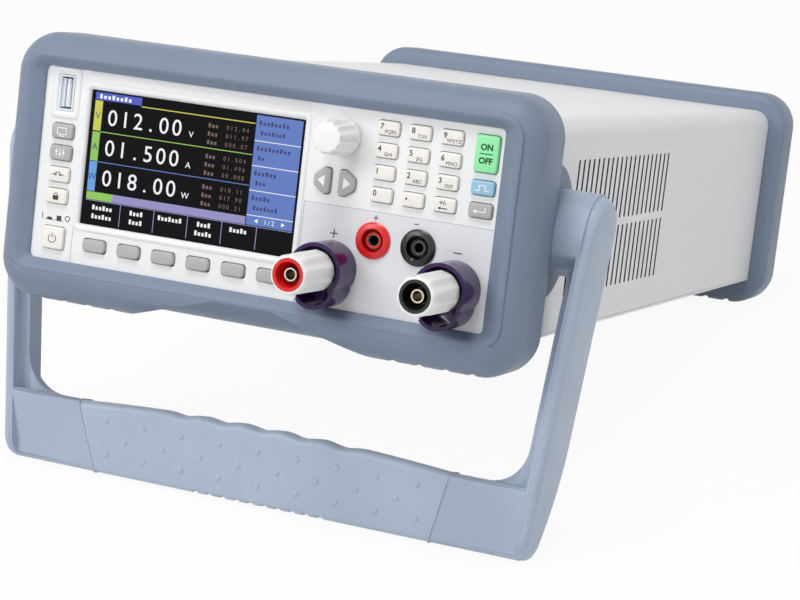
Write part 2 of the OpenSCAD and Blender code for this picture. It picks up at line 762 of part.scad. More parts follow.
module usb_port() stand() color("#c3c6ca") {
    plate(-0.3, board_y) translate([port_x, port_z]) difference() {
        square([port_w, port_h], center = true);
        square([port_w - 1.4, port_h - 1.4], center = true);
    }
    plate(board_y - 1.5, board_y) translate([port_x, port_z]) square([port_w, port_h], center = true);
    plate(1, board_y) translate([port_x - port_w / 2 + 1.4, port_z]) square([1.42, port_h - 3], center = true);
}

module power_switch() stand() color("#33363a") {
    plate(switch_y, board_y) translate([power_x, power_z]) square(switch_flange, center = true);
    plate(board_y - slack, board_y + 14) translate([power_x, power_z]) square(switch_w, center = true);
}

module post_studs() stand() color("#c9b27a") for (x = POSTS) difference() {
    union() {
        rod_y(x, post_z, stud_r, -stud_len, stud_back);
        rod_y(x, post_z, tube_r, -tube_len, 0);
        rod_y(x, post_z, stud_r + 3, panel_t, panel_t + 4, $fn = 6);
    }
    rod_y(x, post_z, socket_r, -tube_len - 1, -tube_len + socket_d);
}

// Guard outline: a large upper lobe and a smaller lower one
module guard_outline(x, g) {
    translate([x, post_z]) circle(r = guard_r + g);
    translate([x, post_z - guard_lobe_drop]) circle(r = guard_lobe_r + g);
}

module post_guards() stand() color([0.30, 0.13, 0.40]) for (x = POSTS) difference() {
    plate(-guard_len, 0) guard_outline(x, 0);
    plate(-guard_len - 1, -2) guard_outline(x, -guard_wall);
    rod_y(x, post_z, stud_r + fit_gap, -3, 1);
    // Gap on the left where a wire lug enters
    block([x - guard_r - 1, -guard_len - 1, post_z - 12], [x - guard_r + 4.5, -5, post_z - 3]);
}

// Fluted cap: threaded bore behind, pocket for the coloured insert in front
module post_cap(x) stand() color("#f2f1ee") difference() {
    turned(x, post_z) polygon([[0, cap_s0], [cap_r - cap_edge, cap_s0], [cap_r, cap_s0 + cap_edge],
        [cap_r, post_reach - cap_edge], [cap_r - cap_edge, post_reach], [0, post_reach]]);
    rod_y(x, post_z, stud_r + run_gap, -post_reach - 1, 1);
    rod_y(x, post_z, insert_r + run_gap, -post_reach - 1, -insert_s0);
    for (i = [0:cap_flutes - 1])
        translate([x, 0, post_z]) rotate([0, (i + 0.5) * 360 / cap_flutes, 0])
            translate([cap_r + 1.4, 0, 0]) rod_y(0, 0, 2, -post_reach + 4, -cap_s0 - 4);
}

module post_cap_plus() post_cap(POSTS[0]);

module post_cap_minus() post_cap(POSTS[1]);

// Funnel ring round the plug socket
module post_insert(x, c) stand() color(c) turned(x, post_z) polygon([
    [tube_r + run_gap, insert_s0], [insert_r, insert_s0], [insert_r, post_reach], [insert_r - 1.2, post_reach],
    [tube_r + 1, insert_s0 + insert_floor], [tube_r + run_gap, insert_s0 + insert_floor]]);

module post_insert_plus() post_insert(POSTS[0], "#d9332b");

module post_insert_minus() post_insert(POSTS[1], "#1c1d20");

// Shrouded jack: round flange, ring recess and an inner collar round the contact sleeve
module sense_jack(x, c) stand() color(c) difference() {
    union() {
        turned(x, jack_z) polygon([[0, 0], [jack_r, 0], [jack_r, jack_proud - 0.6], [jack_r - 0.8, jack_proud],
            [0, jack_proud]]);
        rod_y(x, jack_z, jack_r - 1.2, -slack, jack_back);
    }
    difference() {
        rod_y(x, jack_z, jack_r - 2.6, -jack_proud - 1, 6);
        rod_y(x, jack_z, socket_r + sleeve_wall + 0.7, 0, 7);
    }
    rod_y(x, jack_z, socket_r + sleeve_wall, -jack_proud - 1, jack_back - 2);
}

module sense_jack_plus() sense_jack(JACKS[0], "#d9332b");

module sense_jack_minus() sense_jack(JACKS[1], "#26272b");

module jack_sleeves() stand() color("#c9b27a") for (x = JACKS) difference() {
    rod_y(x, jack_z, socket_r + sleeve_wall, 0.5, jack_back - 2);
    rod_y(x, jack_z, socket_r, -1, 0.5 + socket_d);
}

// Arm in side view: round at the hub, straight in front, swept heel running into the toe
module arm_outline() {
    a = atan2(toe_c.y - heel_c.y, toe_c.x - heel_c.x);
    polygon(concat(arc([hub_y, 0], arm_w / 2, 0, 180, 24), arc(toe_c, toe_r, 180, 360 + a, 24),
        arc(heel_c, heel_r, a, 0, 16)));
}

// Grip bar in side view: leaning flat front, rounded edges, back falling away behind the crown
module grip_section(rise) {
    face = [arm_front - 0.5 - 0.2 * rise, grip_z1 + rise];
    toe = [arm_front - 0.5 + grip_set, grip_z0];
    polygon(rounded([face, toe, toe + [grip_d - 3, 0], [arm_front + grip_d + 4, (grip_z0 + grip_z1) / 2],
        [face.x + grip_run, grip_z1 + rise - grip_fall]], [2, 3, 4, 6, 4]));
}

// Space between the two slanting seams, in front view
module seam_span(g) {
    k = seam_lean / grip_h;
    polygon([for (p = [[-1, 1], [1, 1], [1, -1], [-1, -1]])
        [p.x * (grip_half + g + (p.y > 0 ? 10 : -grip_h - 10) * k), (p.y > 0 ? grip_z1 + 10 : grip_z0 - 10)]]);
}

core_y = [arm_front + 6, arm_front + 12];
core_z = [grip_z0 + 10, grip_z1 - 9];

// One arm with its hub and gusset, on the right side
module arm() {
    inner = arm_x - strip_t - web_t;
    k = strip_chamfer / strip_t;
    seat = grip_z1 - grip_fall;
    corner = [inner / cos(splay) + seat * tan(splay) - arm_x * (1 / cos(splay) - 1), seat];
    translate([arm_x, 0, 0]) rotate([0, splay, 0]) {
        intersection() {
            side_plate(-strip_t, 0) arm_outline();
            translate([0, 0, -handle_drop - 10]) linear_extrude(handle_drop + arm_w + 10)
                polygon([[-strip_t - 1, arm_front - 1], [1, arm_front - 1], [1, arm_back + k],
                    [-strip_t - 1, arm_back - strip_chamfer - k]]);
        }
        side_plate(-strip_t - web_t, -strip_t + slack) translate([arm_front + web_set, grip_z1 - 4])
            square([web_w, -grip_z1 + 4]);
    }
    rod_x(hub_y, 0, hub_r, tab_x + hub_gap, arm_x - strip_t + 1.6);
    plate(arm_front + web_set + 0.2, arm_front + grip_run - 1.5)
        polygon(concat(fillet(corner + 50 * [sin(splay), cos(splay)], corner, corner - [50, 0], gusset_r, 10),
            [corner + [2 - gusset_r, -4], corner + [2, -4]]));
    // End of the grip bar, closed inside the leaning strip
    difference() {
        intersection() {
            side_plate(0, arm_x) grip_section(0);
            translate([arm_x, 0, 0]) rotate([0, splay, 0])
                block([-2 * arm_x, arm_front - 10, -handle_drop - 30], [-strip_t / 2, arm_back + 10, 0]);
        }
        plate(0, arm_back + 10) seam_span(0);
    }
}

module handle_frame() stand() color("#a3b3c4") difference() {
    union() {
        for (m = [0, 1]) mirror([m, 0, 0]) arm();
        block([-grip_half - 2, core_y[0], core_z[0]], [grip_half + 2, core_y[1], core_z[1]]);
    }
    for (m = [0, 1])
        mirror([m, 0, 0]) rod_x(hub_y, 0, pivot_r + run_gap, tab_x, arm_x - strip_t - 4);
}

// Crowned top of the soft grip with finger waves, in front view
function grip_top(x) = grip_z1 + grip_crown * (1 - pow(x / grip_half, 2))
    - wave_h * (abs(x) < 2.5 * wave_pitch ? (1 + cos(360 * x / wave_pitch)) / 2 : 0);

module handle_grip() stand() color("#a3b3c4") difference() {
    intersection() {
        side_plate(-grip_half - 10, grip_half + 10) grip_section(grip_crown + 2);
        plate(0, arm_back + 10) seam_span(0);
        translate([0, arm_front - 0.5, grip_z1]) rotate([-atan(grip_fall / grip_run), 0, 0])
            translate([0, 0, -grip_z1]) plate(-20, 40)
                polygon(concat([[-grip_half - 10, grip_z0 - 10]],
                    [for (i = [0:120]) let (x = (grip_half + 10) * (i / 60 - 1)) [x, grip_top(x)]],
                    [[grip_half + 10, grip_z0 - 10]]));
    }
    block([-grip_half - 20, core_y[0], core_z[0]], [grip_half + 20, core_y[1], core_z[1]]);
    // Anti-slip grooves along the bottom
    for (i = [-4.5:4.5])
        rod_y(i * groove_dx, grip_z0 + groove_d - groove_r, groove_r, arm_front, arm_back);
}

module handle_pivots() stand() color("#8f959c") for (m = [0, 1]) mirror([m, 0, 0]) {
    rod_x(hub_y, 0, pivot_r + 6, inner_w / 2 - sheet_t - 3, inner_w / 2 - sheet_t);
    rod_x(hub_y, 0, pivot_r, inner_w / 2 - sheet_t - slack, arm_x - strip_t - 4.5);
}

// Fan grille: ring slots broken by four diagonal spokes
module grille_slots() {
    for (i = [0:4])
        difference() {
            circle(r = fan_bore_r - i * 6.4);
            circle(r = fan_bore_r - i * 6.4 - 4.2);
            for (a = [45, 135]) rotate(a) square([2 * fan_size, 5], center = true);
        }
}

module rear_panel() stand() color("#d4d3d0") difference() {
    plate(rear_y, rear_y + rear_t) case_outline(-sheet_t - fit_gap);
    plate(rear_y - 1, rear_y + rear_t + 1) {
        translate([fan_x, 0]) grille_slots();
        translate([inlet_x, rear_port_z]) square([inlet_w + 0.4, inlet_h + 0.4], center = true);
        translate([serial_x, rear_port_z]) square([serial_w + 0.4, serial_h + 0.4], center = true);
    }
    for (sx = [-1, 1], sz = [-1, 1])
        rod_y(sx * rear_screw_x, sz * rear_screw_z, screw_hole_r, rear_y - 1, rear_y + rear_t + 1);
}

module fan_housing() stand() color("#24262a") translate([fan_x, 0, 0]) {
    plate(fan_y0, rear_y) difference() {
        rounded_rect(fan_size, fan_size, 5);
        circle(r = fan_bore_r);
    }
    // Motor base on four struts
    plate(rear_y - 4, rear_y) {
        circle(r = hub_fan_r);
        for (a = [0, 90]) rotate(a + 20) square([2 * fan_bore_r + 1, 4], center = true);
    }
    rod_y(0, 0, 2, fan_y0 + 4, rear_y - 3);
}

module fan_rotor() stand() color("#2c2e33") translate([fan_x, 0, 0]) difference() {
    union() {
        rod_y(0, 0, hub_fan_r, fan_y0 + 2, rear_y - 5);
        for (i = [0:fan_blades - 1])
            rotate([0, i * 360 / fan_blades, 0]) intersection() {
                translate([(hub_fan_r + fan_bore_r) / 2, (fan_y0 + rear_y - 3) / 2, 0]) rotate([40, 0, 0])
                    cube([fan_bore_r - hub_fan_r + 4, blade_chord, blade_t], center = true);
                difference() {
                    rod_y(0, 0, fan_bore_r - 1, fan_y0 + 1.5, rear_y - 5);
                    rod_y(0, 0, hub_fan_r - 1, fan_y0, rear_y);
                }
            }
    }
    rod_y(0, 0, 2 + run_gap, fan_y0 + 3.5, rear_y);
}

module heatsink() stand() color("#b4b7ba") {
    z0 = -(fin_count - 1) / 2 * fin_pitch;
    plate(sink_y0, sink_y1) {
        translate([sink_x0, z0 - fin_t / 2]) square([sink_base, -2 * z0 + fin_t]);
        for (i = [0:fin_count - 1])
            translate([sink_x0, z0 + i * fin_pitch - fin_t / 2]) square([sink_w, fin_t]);
        // Feet down to the tray
        for (x = [sink_x0 + 8, sink_x0 + sink_w - 18])
            translate([x, floor_z]) square([10, z0 - floor_z]);
    }
}

module power_board() stand() color("#2f6b46") {
    block([pcb_x0, pcb_y0, board_z], [pcb_x1, pcb_y1, board_z + board_t]);
    // Toroidal transformer
    translate([pcb_x0 + 38, pcb_y0 + 60, board_z]) rotate_extrude()
        translate([coil_ring_r, board_t + coil_r]) circle(r = coil_r);
    // Filter capacitors
    for (i = [0:3])
        translate([pcb_x0 + 14 + i * (pcb_x1 - pcb_x0 - 28) / 3, pcb_y1 - 50, board_z])
            cylinder(r = can_r, h = can_h);
    // Relay and terminal block
    block([pcb_x1 - 26, pcb_y0 + 12, board_z], [pcb_x1 - 8, pcb_y0 + 40, board_z + 18]);
    block([pcb_x0 + 14, pcb_y1 - 28, board_z], [pcb_x1 - 14, pcb_y1 - 16, board_z + 14]);
}

module mains_inlet() stand() color("#1d1e21") {
    y1 = rear_y + rear_t + 3;
    difference() {
        union() {
            plate(rear_y + rear_t, y1) translate([inlet_x, rear_port_z])
                rounded_rect(inlet_plate.x, inlet_plate.y, 3);
            plate(y1 - inlet_depth, y1 - slack) translate([inlet_x, rear_port_z])
                square([inlet_w, inlet_h], center = true);
        }
        plate(y1 - cavity_d, y1 + 1) translate([inlet_x, rear_port_z])
            square([inlet_w - 2 * cavity_wall, inlet_h - 2 * cavity_wall], center = true);
    }
    // Three contact blades
    for (p = [[-7, -2.5], [0, 3.5], [7, -2.5]])
        plate(y1 - cavity_d - slack, y1 - 7) translate([inlet_x + p.x, rear_port_z + p.y])
            square([2, 4], center = true);
}

module serial_port() stand() color("#b9bcc0") {
    y1 = rear_y + rear_t;
    plate(y1, y1 + 1) translate([serial_x, rear_port_z]) rounded_rect(31, 12.5, 1.5);
    plate(y1 - serial_depth, y1 + 6) translate([serial_x, rear_port_z]) difference() {
        polygon(rounded([[-8.8, -4.6], [8.8, -4.6], [9.4, 4.6], [-9.4, 4.6]], [2, 2, 2, 2]));
        polygon(rounded([[-8.2, -4], [8.2, -4], [8.8, 4], [-8.8, 4]], [1.6, 1.6, 1.6, 1.6]));
    }
    plate(y1 - serial_depth, y1 + 1) translate([serial_x, rear_port_z]) square([serial_w - 1.4, 7.6], center = true);
    for (s = [-1, 1]) rod_y(serial_x + s * 12.5, rear_port_z, 2.4, y1 + 1 - slack, y1 + 5, $fn = 6);
}

// Screw with a pan head, its shank along +z from the head's seat
module screw(shank) {
    translate([0, 0, -screw_head_h]) cylinder(r = screw_head_r, h = screw_head_h);
    cylinder(r = screw_r, h = shank);
}

module cover_screws() stand() color("#7f8489") {
    for (sx = [-1, 1], sz = [-1, 1])
        translate([sx * rear_screw_x, rear_y + rear_t, sz * rear_screw_z]) rotate([90, 0, 0]) screw(6);
    for (p = STANDOFFS)
        translate([p.x, p.y, -case_h / 2]) screw(standoff_h - 2);
}

front_bumper();
rear_bumper();
top_cover();
bottom_chassis();
front_panel();
display_window();
display_module();
front_board();
encoder();
encoder_knob();
usb_port();
post_studs();
post_guards();
post_cap_plus();
post_cap_minus();
post_insert_plus();
post_insert_minus();
sense_jack_plus();
sense_jack_minus();
jack_sleeves();
handle_frame();
handle_grip();
handle_pivots();
rear_panel();
fan_housing();
fan_rotor();
heatsink();
power_board();
mains_inlet();
serial_port();
power_switch();
cover_screws();
power_button();
key_left();
key_right();
for (k = KEYS) key(k);
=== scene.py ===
import json
import math

import bmesh
import bpy
from mathutils import Matrix, Vector

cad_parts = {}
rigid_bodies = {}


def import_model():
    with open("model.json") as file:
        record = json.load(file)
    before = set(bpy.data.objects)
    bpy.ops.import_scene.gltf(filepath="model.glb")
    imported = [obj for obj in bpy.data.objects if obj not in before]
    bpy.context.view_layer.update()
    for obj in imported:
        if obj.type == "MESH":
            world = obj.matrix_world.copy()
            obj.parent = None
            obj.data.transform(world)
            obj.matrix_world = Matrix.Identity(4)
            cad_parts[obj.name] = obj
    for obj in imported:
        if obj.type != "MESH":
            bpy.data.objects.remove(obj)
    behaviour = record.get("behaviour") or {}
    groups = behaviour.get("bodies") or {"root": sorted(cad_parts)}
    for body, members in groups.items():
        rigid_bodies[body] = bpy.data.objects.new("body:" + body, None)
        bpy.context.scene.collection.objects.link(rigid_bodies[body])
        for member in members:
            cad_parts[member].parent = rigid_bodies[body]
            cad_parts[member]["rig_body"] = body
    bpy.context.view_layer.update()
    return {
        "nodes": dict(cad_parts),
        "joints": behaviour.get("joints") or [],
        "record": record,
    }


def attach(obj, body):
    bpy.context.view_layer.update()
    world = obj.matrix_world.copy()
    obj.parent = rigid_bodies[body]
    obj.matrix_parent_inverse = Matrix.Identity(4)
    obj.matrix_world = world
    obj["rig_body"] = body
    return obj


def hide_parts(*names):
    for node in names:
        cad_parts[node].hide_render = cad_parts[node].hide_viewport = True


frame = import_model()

scene = bpy.context.scene
nodes = frame["nodes"]
joints = {j["name"]: j for j in frame["joints"]}

ROOT = "instrument"
MM = 0.001
HUB_Y = 40
WELD = 2e-6
FLAT = math.radians(0.5)

# Edges up to these angles, in degrees, are shaded smooth
SMOOTH, SOFT, ROLLED = 35, 50, 60

back = Vector(joints["power_button_press"]["axis"]).normalized()
right = Vector((1, 0, 0))
up = right.cross(back)
hinge = Vector(joints["handle_turn"]["pos_m"])
turn = Matrix((right, back, up)).transposed()
origin = Vector((0, hinge.y, hinge.z)) - HUB_Y * MM * back
PLACE = Matrix.Translation(origin) @ turn.to_4x4() @ Matrix.Scale(MM, 4)
UNPLACE = PLACE.inverted()


# Camera

CAMERA_AT = (413.2, -861.5, 93.0)
CAMERA_TURN = math.radians(22.0)
CAMERA_RISE = math.radians(7.64)
CAMERA_ROLL = math.radians(6.68)
CAMERA_LENS = 109.2
CAMERA_END = 50
SENSOR = 36


def make_camera():
    sa, ca = math.sin(CAMERA_TURN), math.cos(CAMERA_TURN)
    se, ce = math.sin(CAMERA_RISE), math.cos(CAMERA_RISE)
    towards = Vector((sa * ce, -ca * ce, se))
    level = Vector((ca, sa, 0))
    above = towards.cross(level)
    sr, cr = math.sin(CAMERA_ROLL), math.cos(CAMERA_ROLL)
    axes = Matrix((cr * level + sr * above, cr * above - sr * level, towards)).transposed()
    data = bpy.data.cameras.new("camera")
    data.lens = CAMERA_LENS
    data.sensor_width = SENSOR
    data.clip_end = CAMERA_END
    obj = bpy.data.objects.new("camera", data)
    obj.matrix_world = Matrix.Translation(PLACE @ Vector(CAMERA_AT)) @ (turn @ axes).to_4x4()
    scene.collection.objects.link(obj)
    scene.camera = obj


make_camera()


# Effects that the finishes share

NOISE_LOW, NOISE_HIGH = 0.3, 0.7
WAVE_SHARE = 0.5
ROW_DIM = 0.94


def srgb(red, green, blue):
    def linear(c):
        c /= 255
        return c / 12.92 if c <= 0.04045 else ((c + 0.055) / 1.055) ** 2.4
    return (linear(red), linear(green), linear(blue), 1)


def new_group(name, inputs, output, kind):
    tree = bpy.data.node_groups.new(name, "ShaderNodeTree")
    for label, socket, value in inputs:
        entry = tree.interface.new_socket(label, in_out="INPUT", socket_type=socket)
        entry.default_value = value
    tree.interface.new_socket(output, in_out="OUTPUT", socket_type=kind)
    return tree, tree.nodes.new("NodeGroupInput"), tree.nodes.new("NodeGroupOutput")


def noise(tree, scale, detail):
    place = tree.nodes.new("ShaderNodeTexCoord")
    cloud = tree.nodes.new("ShaderNodeTexNoise")
    cloud.inputs["Detail"].default_value = detail
    tree.links.new(place.outputs["Object"], cloud.inputs["Vector"])
    if isinstance(scale, (int, float)):
        cloud.inputs["Scale"].default_value = scale
    else:
        tree.links.new(scale, cloud.inputs["Scale"])
    return cloud.outputs["Fac"]


def spread(tree, value, low, high):
    node = tree.nodes.new("ShaderNodeMapRange")
    node.inputs["From Min"].default_value = NOISE_LOW
    node.inputs["From Max"].default_value = NOISE_HIGH
    tree.links.new(value, node.inputs["Value"])
    for label, end in (("To Min", low), ("To Max", high)):
        if isinstance(end, (int, float)):
            node.inputs[label].default_value = end
        else:
            tree.links.new(end, node.inputs[label])
    return node.outputs["Result"]


def math_node(tree, operation, first, second):
    node = tree.nodes.new("ShaderNodeMath")
    node.operation = operation
    for socket, value in zip(node.inputs, (first, second)):
        if isinstance(value, (int, float)):
            socket.default_value = value
        else:
            tree.links.new(value, socket)
    return node.outputs[0]


def make_tone_drift():
    tree, ins, outs = new_group("tone_drift", (
        ("Colour", "NodeSocketColor", (0.5, 0.5, 0.5, 1)),
        ("Drift", "NodeSocketFloat", 0.06),
        ("Patch", "NodeSocketFloat", 25)), "Colour", "NodeSocketColor")
    low = math_node(tree, "SUBTRACT", 1, ins.outputs["Drift"])
    high = math_node(tree, "ADD", 1, ins.outputs["Drift"])
    level = spread(tree, noise(tree, ins.outputs["Patch"], 3), low, high)
    tint = tree.nodes.new("ShaderNodeHueSaturation")
    tree.links.new(level, tint.inputs["Value"])
    tree.links.new(ins.outputs["Colour"], tint.inputs["Color"])
    tree.links.new(tint.outputs["Color"], outs.inputs["Colour"])
    return tree


def make_handling():
    tree, ins, outs = new_group("handling", (
        ("Rough", "NodeSocketFloat", 0.5),
        ("Rub", "NodeSocketFloat", 0.06),
        ("Patch", "NodeSocketFloat", 60)), "Roughness", "NodeSocketFloat")
    low = math_node(tree, "SUBTRACT", ins.outputs["Rough"], ins.outputs["Rub"])
    high = math_node(tree, "ADD", ins.outputs["Rough"], ins.outputs["Rub"])
    value = spread(tree, noise(tree, ins.outputs["Patch"], 4), low, high)
    tree.links.new(value, outs.inputs["Roughness"])
    return tree


def make_mould_grain():
    tree, ins, outs = new_group("mould_grain", (
        ("Grain", "NodeSocketFloat", 2500),
        ("Wave", "NodeSocketFloat", 60)), "Height", "NodeSocketFloat")
    fine = noise(tree, ins.outputs["Grain"], 2)
    broad = math_node(tree, "MULTIPLY", noise(tree, ins.outputs["Wave"], 1), WAVE_SHARE)
    tree.links.new(math_node(tree, "ADD", fine, broad), outs.inputs["Height"])
    return tree


def make_screen_rows():
    tree, ins, outs = new_group("screen_rows", (
        ("Colour", "NodeSocketColor", (0.5, 0.5, 0.5, 1)),
        ("Rows", "NodeSocketFloat", 1200)), "Colour", "NodeSocketColor")
    place = tree.nodes.new("ShaderNodeTexCoord")
    wave = tree.nodes.new("ShaderNodeTexWave")
    wave.bands_direction = "Z"
    tree.links.new(place.outputs["Object"], wave.inputs["Vector"])
    tree.links.new(ins.outputs["Rows"], wave.inputs["Scale"])
    tint = tree.nodes.new("ShaderNodeHueSaturation")
    tree.links.new(spread(tree, wave.outputs["Fac"], ROW_DIM, 1.0), tint.inputs["Value"])
    tree.links.new(ins.outputs["Colour"], tint.inputs["Color"])
    tree.links.new(tint.outputs["Color"], outs.inputs["Colour"])
    return tree


TONE = make_tone_drift()
HANDLING = make_handling()
GRAIN = make_mould_grain()
SCREEN_ROWS = make_screen_rows()


def use_group(tree, group, **values):
    node = tree.nodes.new("ShaderNodeGroup")
    node.node_tree = group
    for label, value in values.items():
        node.inputs[label].default_value = value
    return node.outputs[0]


BUMP = 0.4
SCREEN_BASE = (0.01, 0.01, 0.012, 1)
SCREEN_ROUGH = 0.3


def new_finish(name):
    finish = bpy.data.materials.new(name)
    finish.use_nodes = True
    return finish, finish.node_tree, finish.node_tree.nodes["Principled BSDF"]


def moulded(name, colour, rough, grain=2500, depth=0.02, drift=0.03, rub=0.05, patch=25, **sockets):
    finish, tree, shader = new_finish(name)
    tree.links.new(use_group(tree, TONE, Colour=srgb(*colour), Drift=drift, Patch=patch),
                   shader.inputs["Base Color"])
    tree.links.new(use_group(tree, HANDLING, Rough=rough, Rub=rub), shader.inputs["Roughness"])
    bump = tree.nodes.new("ShaderNodeBump")
    bump.inputs["Strength"].default_value = BUMP
    bump.inputs["Distance"].default_value = depth * MM
    tree.links.new(use_group(tree, GRAIN, Grain=grain), bump.inputs["Height"])
    tree.links.new(bump.outputs["Normal"], shader.inputs["Normal"])
    for label, value in sockets.items():
        shader.inputs[label.replace("_", " ")].default_value = value
    return finish


def glowing(name, colour):
    finish, tree, shader = new_finish(name)
    shader.inputs["Base Color"].default_value = SCREEN_BASE
    shader.inputs["Roughness"].default_value = SCREEN_ROUGH
    shader.inputs["Emission Strength"].default_value = 1
    rows = use_group(tree, SCREEN_ROWS, Colour=srgb(*colour))
    tree.links.new(rows, shader.inputs["Emission Color"])
    return finish


FINISH = {
    "bumper": moulded("bumper_rubber", (124, 137, 157), 0.46, grain=1800, depth=0.05, drift=0.03,
                      Specular_IOR_Level=0.3),
    "handle": moulded("handle_nylon", (174, 187, 206), 0.42, grain=2200, depth=0.04, drift=0.025,
                      Specular_IOR_Level=0.35),
    "grip": moulded("grip_rubber", (178, 191, 209), 0.44, grain=2000, depth=0.05, drift=0.025),
    "case_paint": moulded("case_powder_coat", (238, 238, 240), 0.42, grain=1500, depth=0.06,
                          drift=0.012),
    # Dark grey for the cover's inside faces and slot walls: painted shade
    "case_inside_shade": moulded("case_inside_painted_shade", (58, 61, 66), 0.55, grain=900, drift=0.05),
    "panel": moulded("panel_moulding", (238, 239, 240), 0.4, grain=2600, depth=0.02, drift=0.012),
    "display_glass": moulded("window_glass", (9, 9, 12), 0.1, grain=200, depth=0.001, rub=0.03,
                             Specular_IOR_Level=0.1),
    "dark_plastic": moulded("dark_plastic", (38, 39, 43), 0.45),
    "circuit_board": moulded("board_laminate", (24, 74, 48), 0.4, patch=90, drift=0.08),
    "bare_metal": moulded("zinc_steel", (176, 178, 182), 0.32, grain=900, drift=0.05, Metallic=1.0),
    "knob_white": moulded("knob_white", (244, 244, 243), 0.36, depth=0.01, drift=0.01,
                          Specular_IOR_Level=0.3),
    "contact_metal": moulded("nickel_contact", (214, 206, 190), 0.22, drift=0.04, Metallic=1.0),
    "guard_purple": moulded("guard_purple", (48, 10, 78), 0.2, depth=0.004, drift=0.05,
                            Transmission_Weight=0.2, Coat_Weight=0.15, Specular_IOR_Level=0.35),
    # Nickel of the sense jack sleeves, darkened with painted shade so that the jack holes look dark
    "jack_nickel_in_shade": moulded("jack_nickel_in_shade", (104, 96, 90), 0.35, drift=0.06, Metallic=1.0),
    "cap_white": moulded("cap_white", (248, 247, 245), 0.34, depth=0.01, drift=0.012),
    "terminal_red": moulded("terminal_red", (222, 30, 32), 0.28, depth=0.008, drift=0.03),
    "terminal_black": moulded("terminal_black", (20, 20, 22), 0.3, depth=0.008, drift=0.05),
    "heatsink": moulded("anodised_fins", (96, 98, 102), 0.38, grain=700, Metallic=1.0),
    "key_ivory": moulded("key_ivory", (240, 237, 231), 0.42, depth=0.012, drift=0.012),
    "key_grey": moulded("key_grey", (176, 177, 175), 0.44, depth=0.012, drift=0.015),
    "key_green": moulded("key_green", (150, 238, 172), 0.4, depth=0.012, drift=0.012),
    "key_blue": moulded("key_blue", (150, 194, 222), 0.4, depth=0.012, drift=0.012),
    "ink_dark": moulded("ink_dark", (44, 46, 52), 0.6, drift=0.04),
    "ink_green": moulded("ink_green", (20, 84, 40), 0.6, drift=0.04),
    "ink_white": moulded("ink_white", (246, 247, 248), 0.6, drift=0.01),
    "plate_grey": moulded("input_plate", (226, 227, 231), 0.42, grain=2600, depth=0.02,
                          drift=0.012),
    "seam_shadow": moulded("panel_seam", (176, 180, 187), 0.6, drift=0.03),
    "port_white": moulded("port_white", (232, 238, 244), 0.3, drift=0.012),
    "screen_white": glowing("screen_white", (238, 240, 244)),
    "screen_blue": glowing("screen_blue", (54, 74, 190)),
    "screen_sky": glowing("screen_sky", (80, 112, 186)),
    "screen_azure": glowing("screen_azure", (92, 152, 220)),
    "screen_yellow": glowing("screen_yellow", (196, 198, 62)),
    "screen_green": glowing("screen_green", (136, 192, 76)),
    "screen_lilac": glowing("screen_lilac", (140, 136, 190)),
    "screen_brown": glowing("screen_brown", (104, 80, 66)),
    "screen_navy": glowing("screen_navy", (22, 34, 110)),
}

KEY_FINISH = {"key_on_off": "key_green", "key_trigger": "key_blue", "key_enter": "key_grey",
              "key_display": "key_grey", "key_setup": "key_grey", "key_left": "key_grey",
              "key_right": "key_grey"}


# Meshes

def add_piece(name, mesh, body, finish, replaced=(), smooth=SMOOTH):
    mesh.name = name
    mesh.materials.clear()
    mesh.materials.append(FINISH[finish])
    obj = bpy.data.objects.new(name, mesh)
    scene.collection.objects.link(obj)
    for polygon in mesh.polygons:
        polygon.use_smooth = True
    mesh.set_sharp_from_angle(angle=math.radians(smooth))
    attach(obj, body)
    if replaced:
        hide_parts(*replaced)
    return obj


def mesh_of(bm):
    bmesh.ops.recalc_face_normals(bm, faces=bm.faces)
    mesh = bpy.data.meshes.new("shape")
    bm.to_mesh(mesh)
    bm.free()
    mesh.transform(PLACE)
    return mesh


def welded(node):
    bm = bmesh.new()
    bm.from_mesh(nodes[node].data)
    bmesh.ops.remove_doubles(bm, verts=bm.verts, dist=WELD)
    bmesh.ops.dissolve_limit(bm, angle_limit=FLAT, verts=bm.verts, edges=bm.edges)
    bm.transform(UNPLACE)
    bm.normal_update()
    return bm


def body_of(node):
    return nodes[node]["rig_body"]


def arc(cx, cz, r, turns):
    return [(cx + r * math.cos(a), cz + r * math.sin(a)) for a in turns]


def full_circle(steps):
    return [2 * math.pi * i / steps for i in range(steps)]


def rounded_rect(cx, cz, w, h, r, steps=6):
    points = []
    for sx, sz, start in ((1, 1, 0), (-1, 1, 90), (-1, -1, 180), (1, -1, 270)):
        turns = [math.radians(start + 90 * i / steps) for i in range(steps + 1)]
        points += arc(cx + sx * (w / 2 - r), cz + sz * (h / 2 - r), r, turns)
    return points


def ring_at(y, *outline):
    return [(x, y, z) for x, z in rounded_rect(*outline)]


def loft(bm, rings, closed=False):
    rows = [[bm.verts.new(p) for p in ring] for ring in rings]
    count = len(rows[0])
    pairs = list(zip(rows, rows[1:]))
    if closed:
        pairs.append((rows[-1], rows[0]))
    else:
        bm.faces.new(rows[0])
        bm.faces.new(rows[-1])
    for near, far in pairs:
        for i in range(count):
            bm.faces.new((near[i - 1], near[i], far[i], far[i - 1]))


def prism(bm, outline, y0, y1):
    loft(bm, [[(x, y, z) for x, z in outline] for y in (y0, y1)])


def bar(x0, z0, x1, z1, w):
    along = Vector((x1 - x0, z1 - z0)).normalized() * w / 2
    side = Vector((-along.y, along.x))
    return [(x0 + side.x, z0 + side.y), (x0 - side.x, z0 - side.y),
            (x1 - side.x, z1 - side.y), (x1 + side.x, z1 + side.y)]


def band(cx, cz, r, w, start, end, steps=24):
    turns = [math.radians(start + (end - start) * i / steps) for i in range(steps + 1)]
    return arc(cx, cz, r + w / 2, turns) + arc(cx, cz, r - w / 2, turns[::-1])


def box_outline(x0, z0, x1, z1):
    return [(x0, z0), (x1, z0), (x1, z1), (x0, z1)]


# Printed marks: each piece gathers all its shapes before it is placed

